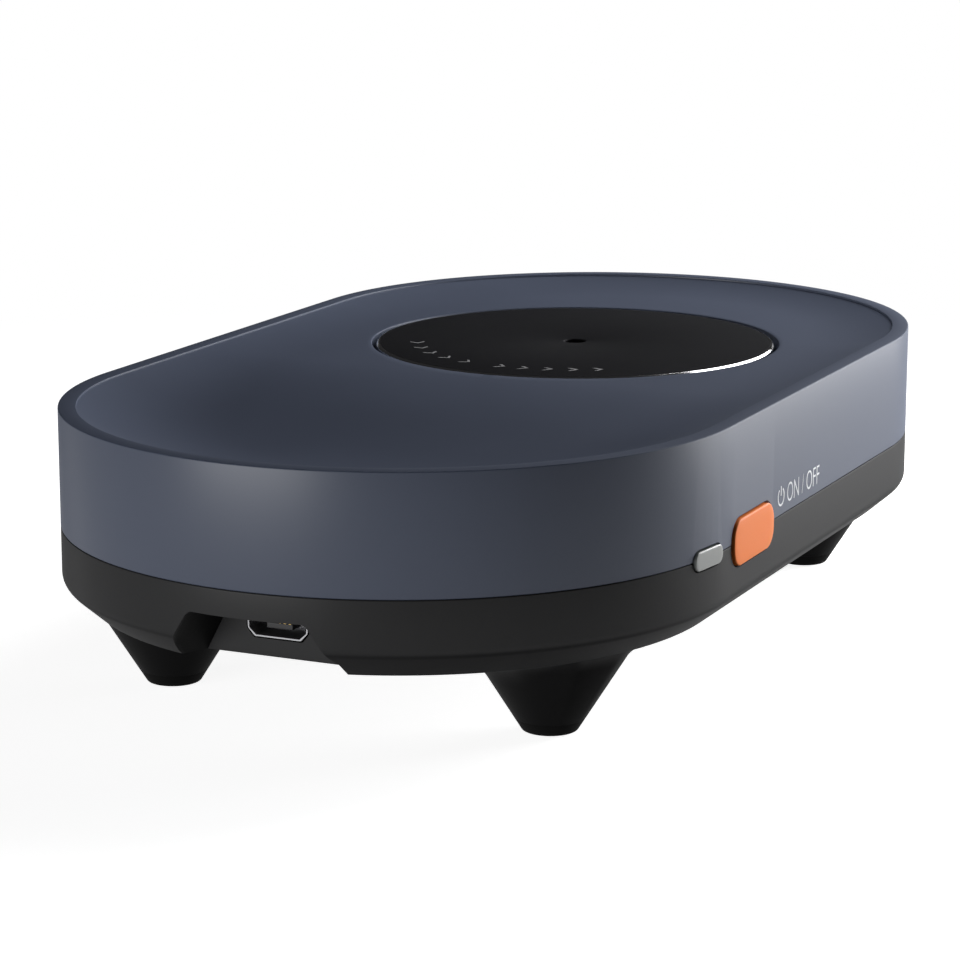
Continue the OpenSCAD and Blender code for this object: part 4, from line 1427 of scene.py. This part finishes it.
@dataclass(frozen=True)
class BaseShell:
    """The black shell: upright wall, chamfered foot, four feet and the cable recess."""

    outline: Outline
    feet: Feet
    floor_z: float = 12.1
    floor_in: float = 2.4
    floor_flat: float = 5.0
    under_flat: float = 3.0
    floor_rise: float = 2.1
    seam_edge_r: float = 0.16
    wall_foot_r: float = 1.6
    chamfer_r: float = 0.5
    lip: float = 1.1
    lip_h: float = 1.2
    recess_d: float = 8.0
    recess_h: float = 6.2
    recess_w: float = 6.9
    recess_back_w: float = 5.5
    recess_mouth_w: float = 9.0
    recess_mouth_d: float = 3.0
    recess_mouth_share: float = 1.04
    recess_r: float = 1.2
    recess_wall: float = 1.8
    form_inset: float = 0.3
    flare_inset: float = 0.12

    def outer_line(self) -> list[Point2]:
        """Inset and height along the outer face, from the seam to the underside.

        Returns:
            The line's points.
        """
        seam = [(self.lip, SEAM_Z, 0.0), (0.0, SEAM_Z, self.seam_edge_r)]
        chamfer = [(0.0, WALL_FOOT_Z, self.wall_foot_r), (CHAMFER_IN, UNDER_Z, self.chamfer_r)]
        return fillet([*seam, *chamfer, (CHAMFER_IN + self.under_flat, UNDER_Z, 0.0)], steps=6)

    def shell(self) -> Piece:
        """The hollow shell with its lip.

        Returns:
            The solid.
        """
        wall, lip_z, floor_z = self.outline.wall, SEAM_Z + self.lip_h, self.floor_z
        flat = [(wall + self.floor_flat, floor_z), (wall + self.floor_in, floor_z)]
        floor = [*flat, (wall, floor_z + self.floor_rise)]
        rings = self.outline.rings([*floor, (wall, lip_z), (self.lip, lip_z), *self.outer_line()])
        return loft("base_shell", rings, material("black_shell"), caps=((0, 0, floor_z), (0, 0, UNDER_Z)))

    def solid_form(self) -> Piece:
        """The outer form, filled, a little inside the outer face.

        Returns:
            The solid.
        """
        line = [(inset + self.form_inset, z) for inset, z in self.outer_line()]
        caps = ((0, 0, line[0][1]), (0, 0, line[-1][1]))
        return loft("form", self.outline.rings(line[1:]), caps=caps)

    def recess_walls(self) -> Piece:
        """The box of wall round the recess, inside the shell.

        Returns:
            The solid.
        """
        end, half = self.outline.end, self.recess_mouth_w + self.recess_wall
        back, top = self.recess_d + self.recess_wall - end, UNDER_Z + self.recess_h + self.recess_wall
        corners = [(x, y, z) for x in (-half, half) for y in (-end, back) for z in (UNDER_Z, top)]
        faces = [(0, 1, 3, 2), (4, 6, 7, 5), (0, 4, 5, 1), (2, 3, 7, 6), (0, 2, 6, 4), (1, 5, 7, 3)]
        box = make_piece("recess_box", corners, faces)
        carve(box, [self.solid_form()], Join.KEEP)
        return box

    def recess(self) -> Piece:
        """The arch that opens downwards and narrows towards its back wall.

        Returns:
            The solid to cut out.
        """
        low, top = UNDER_Z - PAST, UNDER_Z + self.recess_h
        spread = (self.recess_mouth_w - self.recess_w) / (top - WALL_FOOT_Z)
        low_w = self.recess_w + spread * (top - low)
        roof = [(side * self.recess_w, top, self.recess_r) for side in (-1, 1)]
        arch = fillet([(-low_w, low, 0.0), *roof, (low_w, low, 0.0)], steps=8)
        end = self.outline.end
        back, mouth, back_share = self.recess_d - end, -end - PAST, self.recess_back_w / self.recess_w
        sections = ((mouth, self.recess_mouth_share), (self.recess_mouth_d - end, 1.0), (back, back_share))
        rings = [[(x * share, y, z) for x, z in arch] for y, share in sections]
        return loft("recess", rings, caps=[(0, y, (low + top) / 2) for y in (mouth, back)])

    def build(self, openings: Sequence[Piece], socket_hole: Piece) -> None:
        """Makes the shell with its feet, and cuts the recess and the openings in it.

        Args:
            openings: The holes' solids for button and lens, which are used up.
            socket_hole: The hole's solid for the socket, which is used up.
        """
        shell, places = self.shell(), self.feet.places()
        cones = [self.feet.cone(self.outline, at, CHAMFER_IN + self.flare_inset) for at in places]
        bosses = [self.feet.boss(at) for at in places]
        carve(shell, [self.recess_walls(), *cones, *bosses], Join.ADD)
        bores = [self.feet.bore(at) for at in places]
        carve(shell, [self.recess(), socket_hole, *bores, *openings], Join.CUT)
        finish_piece(shell, Body.HOUSING, ["base_housing"])


@dataclass(frozen=True)
class Socket:
    """The micro-B socket in the cable recess."""

    front_y: float = span("usb_shell", Y)[0]
    back_y: float = span("usb_shell", Y)[1]
    low_z: float = span("usb_shell", Z)[0]
    width: float = size("usb_shell", X)
    height: float = size("usb_shell", Z)
    sheet: float = 0.25
    corner_r: float = 0.32
    low_corner_more: float = 0.2
    # How far the outer and inner front edges are cut back, across and along
    front_edge: Point2 = (0.04, 0.1)
    mouth_edge: Point2 = (0.06, 0.12)
    cut: float = 0.85
    cut_h: float = 0.95
    hole_gap: float = 0.15
    tongue_w: float = size("usb_tongue", X)
    tongue_t: float = size("usb_tongue", Z)
    tongue_corner_r: float = 0.12
    tongue_edge_r: float = 0.1
    tongue_front_in: float = 0.2
    tongue_y: float = span("usb_tongue", Y)[0]
    tongue_z: float = middle("usb_tongue", Z)
    contact_w: float = 0.3
    contact_l: float = size("usb_contacts", Y)
    contact_t: float = size("usb_contacts", Z)
    contact_pitch: float = 0.62
    contact_count: int = 5

    def section(self, grow: float, y: float) -> list[Vector]:
        """The shell's outline: wide at the top, its lower corners cut off.

        Args:
            grow: How far outside the shell's outer face it runs.
            y: Its place.

        Returns:
            Its points.
        """
        half, low, top, corner = self.width / 2 + grow, -grow, self.height + grow, self.corner_r + grow
        shoulder = (half, self.cut_h, corner + self.low_corner_more)
        side = [(half, top, corner), shoulder, (half - self.cut, low, corner)]
        line = fillet([(0.0, top, 0.0), *side, (0.0, low, 0.0)], steps=4)
        mirrored = [(-x, z) for x, z in reversed(line[1:-1])]
        return [Vector((x, y, z + self.low_z)) for x, z in line + mirrored]

    def skin(self, name: str, line: Sequence[Point2], look: Material | None = None) -> Piece:
        """A solid through the shell's outline, from each section's growth and Y."""
        caps = [(0, y, self.low_z + self.height / 2) for _, y in (line[0], line[-1])]
        return loft(name, [self.section(grow, y) for grow, y in line], look, caps=caps)

    def hole(self) -> Piece:
        """The hole for the socket in the recess's back wall, as a solid to cut out."""
        ends = (self.front_y - PAST, self.front_y + 3 * PAST)
        return self.skin("socket_hole", [(self.hole_gap, y) for y in ends])

    def shell(self) -> None:
        """The folded shell, with its front edge eased."""
        thin, front, back = self.sheet, self.front_y, self.back_y
        (across, along), (mouth_across, mouth_along) = self.front_edge, self.mouth_edge
        inside = [(mouth_across - thin, front), (-thin, front + mouth_along), (-thin, back - thin)]
        line = [(0.0, back), (0.0, front + along), (-across, front), *inside]
        shell = self.skin("socket_shell", line, material("socket_steel"))
        finish_piece(shell, Body.HOUSING, ["usb_shell"])

    def tongue(self) -> None:
        """The plastic tongue, with eased edges."""
        reach = self.back_y - self.sheet - self.tongue_y
        rings, measures = [], (self.tongue_w, self.tongue_t, self.tongue_corner_r)
        corners = [(self.tongue_front_in, 0.0, 0.0), (0.0, 0.0, self.tongue_edge_r), (0.0, reach, 0.0)]
        for inset, y in fillet(corners, steps=4):
            outline = rounded_rect(*measures, max(inset, 0.0))
            rings.append([(x, self.tongue_y + y, z + self.tongue_z) for x, z in outline])
        caps = [(0, self.tongue_y + y, self.tongue_z) for y in (0, reach)]
        tongue = loft("socket_tongue", rings, material("dark_plastic"), caps=caps)
        finish_piece(tongue, Body.HOUSING, ["usb_tongue"])

    def contacts(self, grid: Repeat) -> None:
        """The contacts on the tongue, with rounded tips.

        Args:
            grid: The tree that sets the contacts side by side.
        """
        half, tip = self.contact_w / 2, ((0.0, 0.3), (0.06, 0.75), (0.16, 1.0), (self.contact_l, 1.0))
        form = ((-1, 0), (1, 0), (1, 0.75), (0.6, 1), (-0.6, 1), (-1, 0.75))
        rings = [[(x * half, y, z * self.contact_t * share) for x, z in form] for y, share in tip]
        caps = ((0, 0, 0.01), (0, self.contact_l, 0.05))
        fingers = loft("socket_contacts", rings, material("brass"), caps=caps)
        place = (0, self.tongue_y * MM, (self.tongue_z + self.tongue_t / 2) * MM)
        width = (self.contact_count - 1) * self.contact_pitch * MM
        grid.apply(fingers, Width=width, Length=0.0, Columns=self.contact_count, Rows=1, Middle=place)
        finish_piece(fingers, Body.HOUSING, ["usb_contacts"])


class Innards:
    """The CAD nodes: each gets the finish of its slot, and those not replaced show it."""

    def dress(self) -> None:
        """Gives every CAD node its material, and reports those that show."""
        slots = {row["node"]: row["material_slot"] for row in frame["record"]["subparts"]}
        for name, node in sorted(frame["nodes"].items()):
            node.data.materials.clear()
            node.data.materials.append(material(slots[name]))
            if not node.hide_render:
                LOG.info("%s: CAD node in %s", name, slots[name])


# ---------------------------------------------------------------- studio


@dataclass(frozen=True)
class Softbox:
    """A soft lamp that looks at the body's middle.

    Azimuth 0 is in front, at -Y, and 90 at the button's side.
    """

    name: str
    azimuth: float
    elevation: float
    size_m: Point2
    power_w: float
    distance_m: float = 0.7
    aim_z_m: float = 0.022

    def build(self) -> None:
        """Makes the lamp."""
        a, e = math.radians(self.azimuth), math.radians(self.elevation)
        out = Vector((math.sin(a) * math.cos(e), -math.cos(a) * math.cos(e), math.sin(e)))
        lamp = bpy.data.lights.new(self.name, "AREA")
        lamp.shape = "RECTANGLE"
        lamp.size, lamp.size_y = self.size_m
        lamp.energy = self.power_w
        obj = put(self.name, lamp)
        obj.location = Vector((0, 0, self.aim_z_m)) + out * self.distance_m
        obj.rotation_euler = (-out).to_track_quat("-Z", "Y").to_euler()


@dataclass(frozen=True)
class Studio:
    """Floor, world, lamps and camera."""

    floor_half_m: float = 6.0
    floor_z_m: float = -0.0002
    near_m: Point2 = (0.09, 0.24)
    near_glow: float = 0.9
    lens: float = 123.672
    sensor: float = 36.0
    eye: Point3 = (163.413, -367.667, 106.733)
    look: Point3 = (-0.40492, 0.88837, -0.21643)

    def world(self) -> None:
        """White to the camera and through glass, and to gloss only just above the horizon."""
        world = bpy.data.worlds.new("studio")
        bpy.context.scene.world = world
        world.use_nodes = True
        sky = Nodes(world.node_tree)
        ray = sky.add("ShaderNodeLightPath").outputs
        height = sky.part(sky.add("ShaderNodeTexCoord").outputs["Generated"], Z)
        gloss = Value(sky, ray["Is Glossy Ray"]) * height.ramp(0.02, 0.1, start=1.0, end=0.02)
        seen = Value(sky, ray["Is Camera Ray"]).least(Value(sky, ray["Is Transmission Ray"]))
        back = sky.add("ShaderNodeBackground", {"Color": WHITE, "Strength": seen.least(gloss)})
        sky.add("ShaderNodeOutputWorld", {"Surface": back.outputs[0]})

    def floor(self) -> None:
        """A plain pale floor that keeps a faint shadow near the body and is white further out."""
        shader = Shader("pale_floor")
        shader.set(Base_Color=(0.8, 0.8, 0.8), Roughness=0.9, Specular_IOR_Level=0.0)
        white, glow = (
            shader.add("ShaderNodeEmission", {"Color": WHITE, "Strength": strength})
            for strength in (1.0, self.near_glow)
        )
        reach = Value(shader, shader.vector("LENGTH", shader.place).outputs["Value"])
        lit = shader.add("ShaderNodeAddShader", {0: shader.surface.outputs[0], 1: glow.outputs[0]})
        ends = {1: lit.outputs[0], 2: white.outputs[0]}
        near = shader.add("ShaderNodeMixShader", {0: reach.ramp(*self.near_m), **ends})
        dim = shader.add("ShaderNodeBsdfDiffuse", {"Color": (0.1, 0.1, 0.1)})
        ray = shader.add("ShaderNodeLightPath").outputs
        camera, gloss, glass = (
            Value(shader, ray[f"Is {kind} Ray"]) for kind in ("Camera", "Glossy", "Transmission")
        )
        ends = {1: dim.outputs[0], 2: near.outputs[0]}
        pick = shader.add("ShaderNodeMixShader", {0: camera + gloss + glass, **ends})
        shader.feed(shader.output.inputs["Surface"], pick.outputs[0])
        half = self.floor_half_m / MM
        points = [(x * half, y * half, 0) for x, y in ((-1, -1), (1, -1), (1, 1), (-1, 1))]
        plane = make_piece("floor", points, [(0, 1, 2, 3)], shader.material)
        plane.location.z = self.floor_z_m

    def camera(self) -> None:
        """The camera at the photograph's place, angle and field of view."""
        data = bpy.data.cameras.new("photo_camera")
        data.sensor_width = self.sensor
        data.lens = self.lens
        data.clip_start, data.clip_end = 0.01, 100.0
        camera = put("photo_camera", data)
        camera.location = Vector(self.eye) * MM
        camera.rotation_euler = Vector(self.look).to_track_quat("-Z", "Y").to_euler()
        bpy.context.scene.camera = camera

    def lamps(self) -> None:
        """Two lamps behind the button's side, low and high, and a low wide one at the front left."""
        for box in (
            Softbox("key_right", 140.0, 6.0, (0.2, 0.08), 0.74, 0.28),
            Softbox("key_rear_high", 157.0, 32.0, (0.24, 0.28), 1.35, 0.35),
            Softbox("fill_left", -22.0, 2.5, (0.48, 0.06), 2.45),
        ):
            box.build()

    def build(self) -> None:
        """Sets up the studio."""
        bpy.context.scene.view_settings.view_transform = "Standard"
        for part in (self.world, self.floor, self.camera, self.lamps):
            part()


def main() -> None:
    """Builds every piece in order."""
    logging.basicConfig(level=logging.INFO, format="%(name)s: %(message)s")
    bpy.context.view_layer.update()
    Studio().build()
    grid, arc = Repeat.on_grid(), Repeat.on_arc()
    outline, feet, table, socket = Outline(), Feet(), Turntable(), Socket()
    controls = SideControls(outline)

    TopShell(outline, table).build(controls.openings())
    BaseShell(outline, feet).build(controls.openings(), socket.hole())
    feet.pads(grid)
    table.plate()
    table.trim()
    table.marks(arc)
    controls.button()
    controls.lens()
    controls.symbol()
    controls.words()
    socket.shell()
    socket.tongue()
    socket.contacts(grid)
    Innards().dress()


if __name__ == "__main__":
    main()
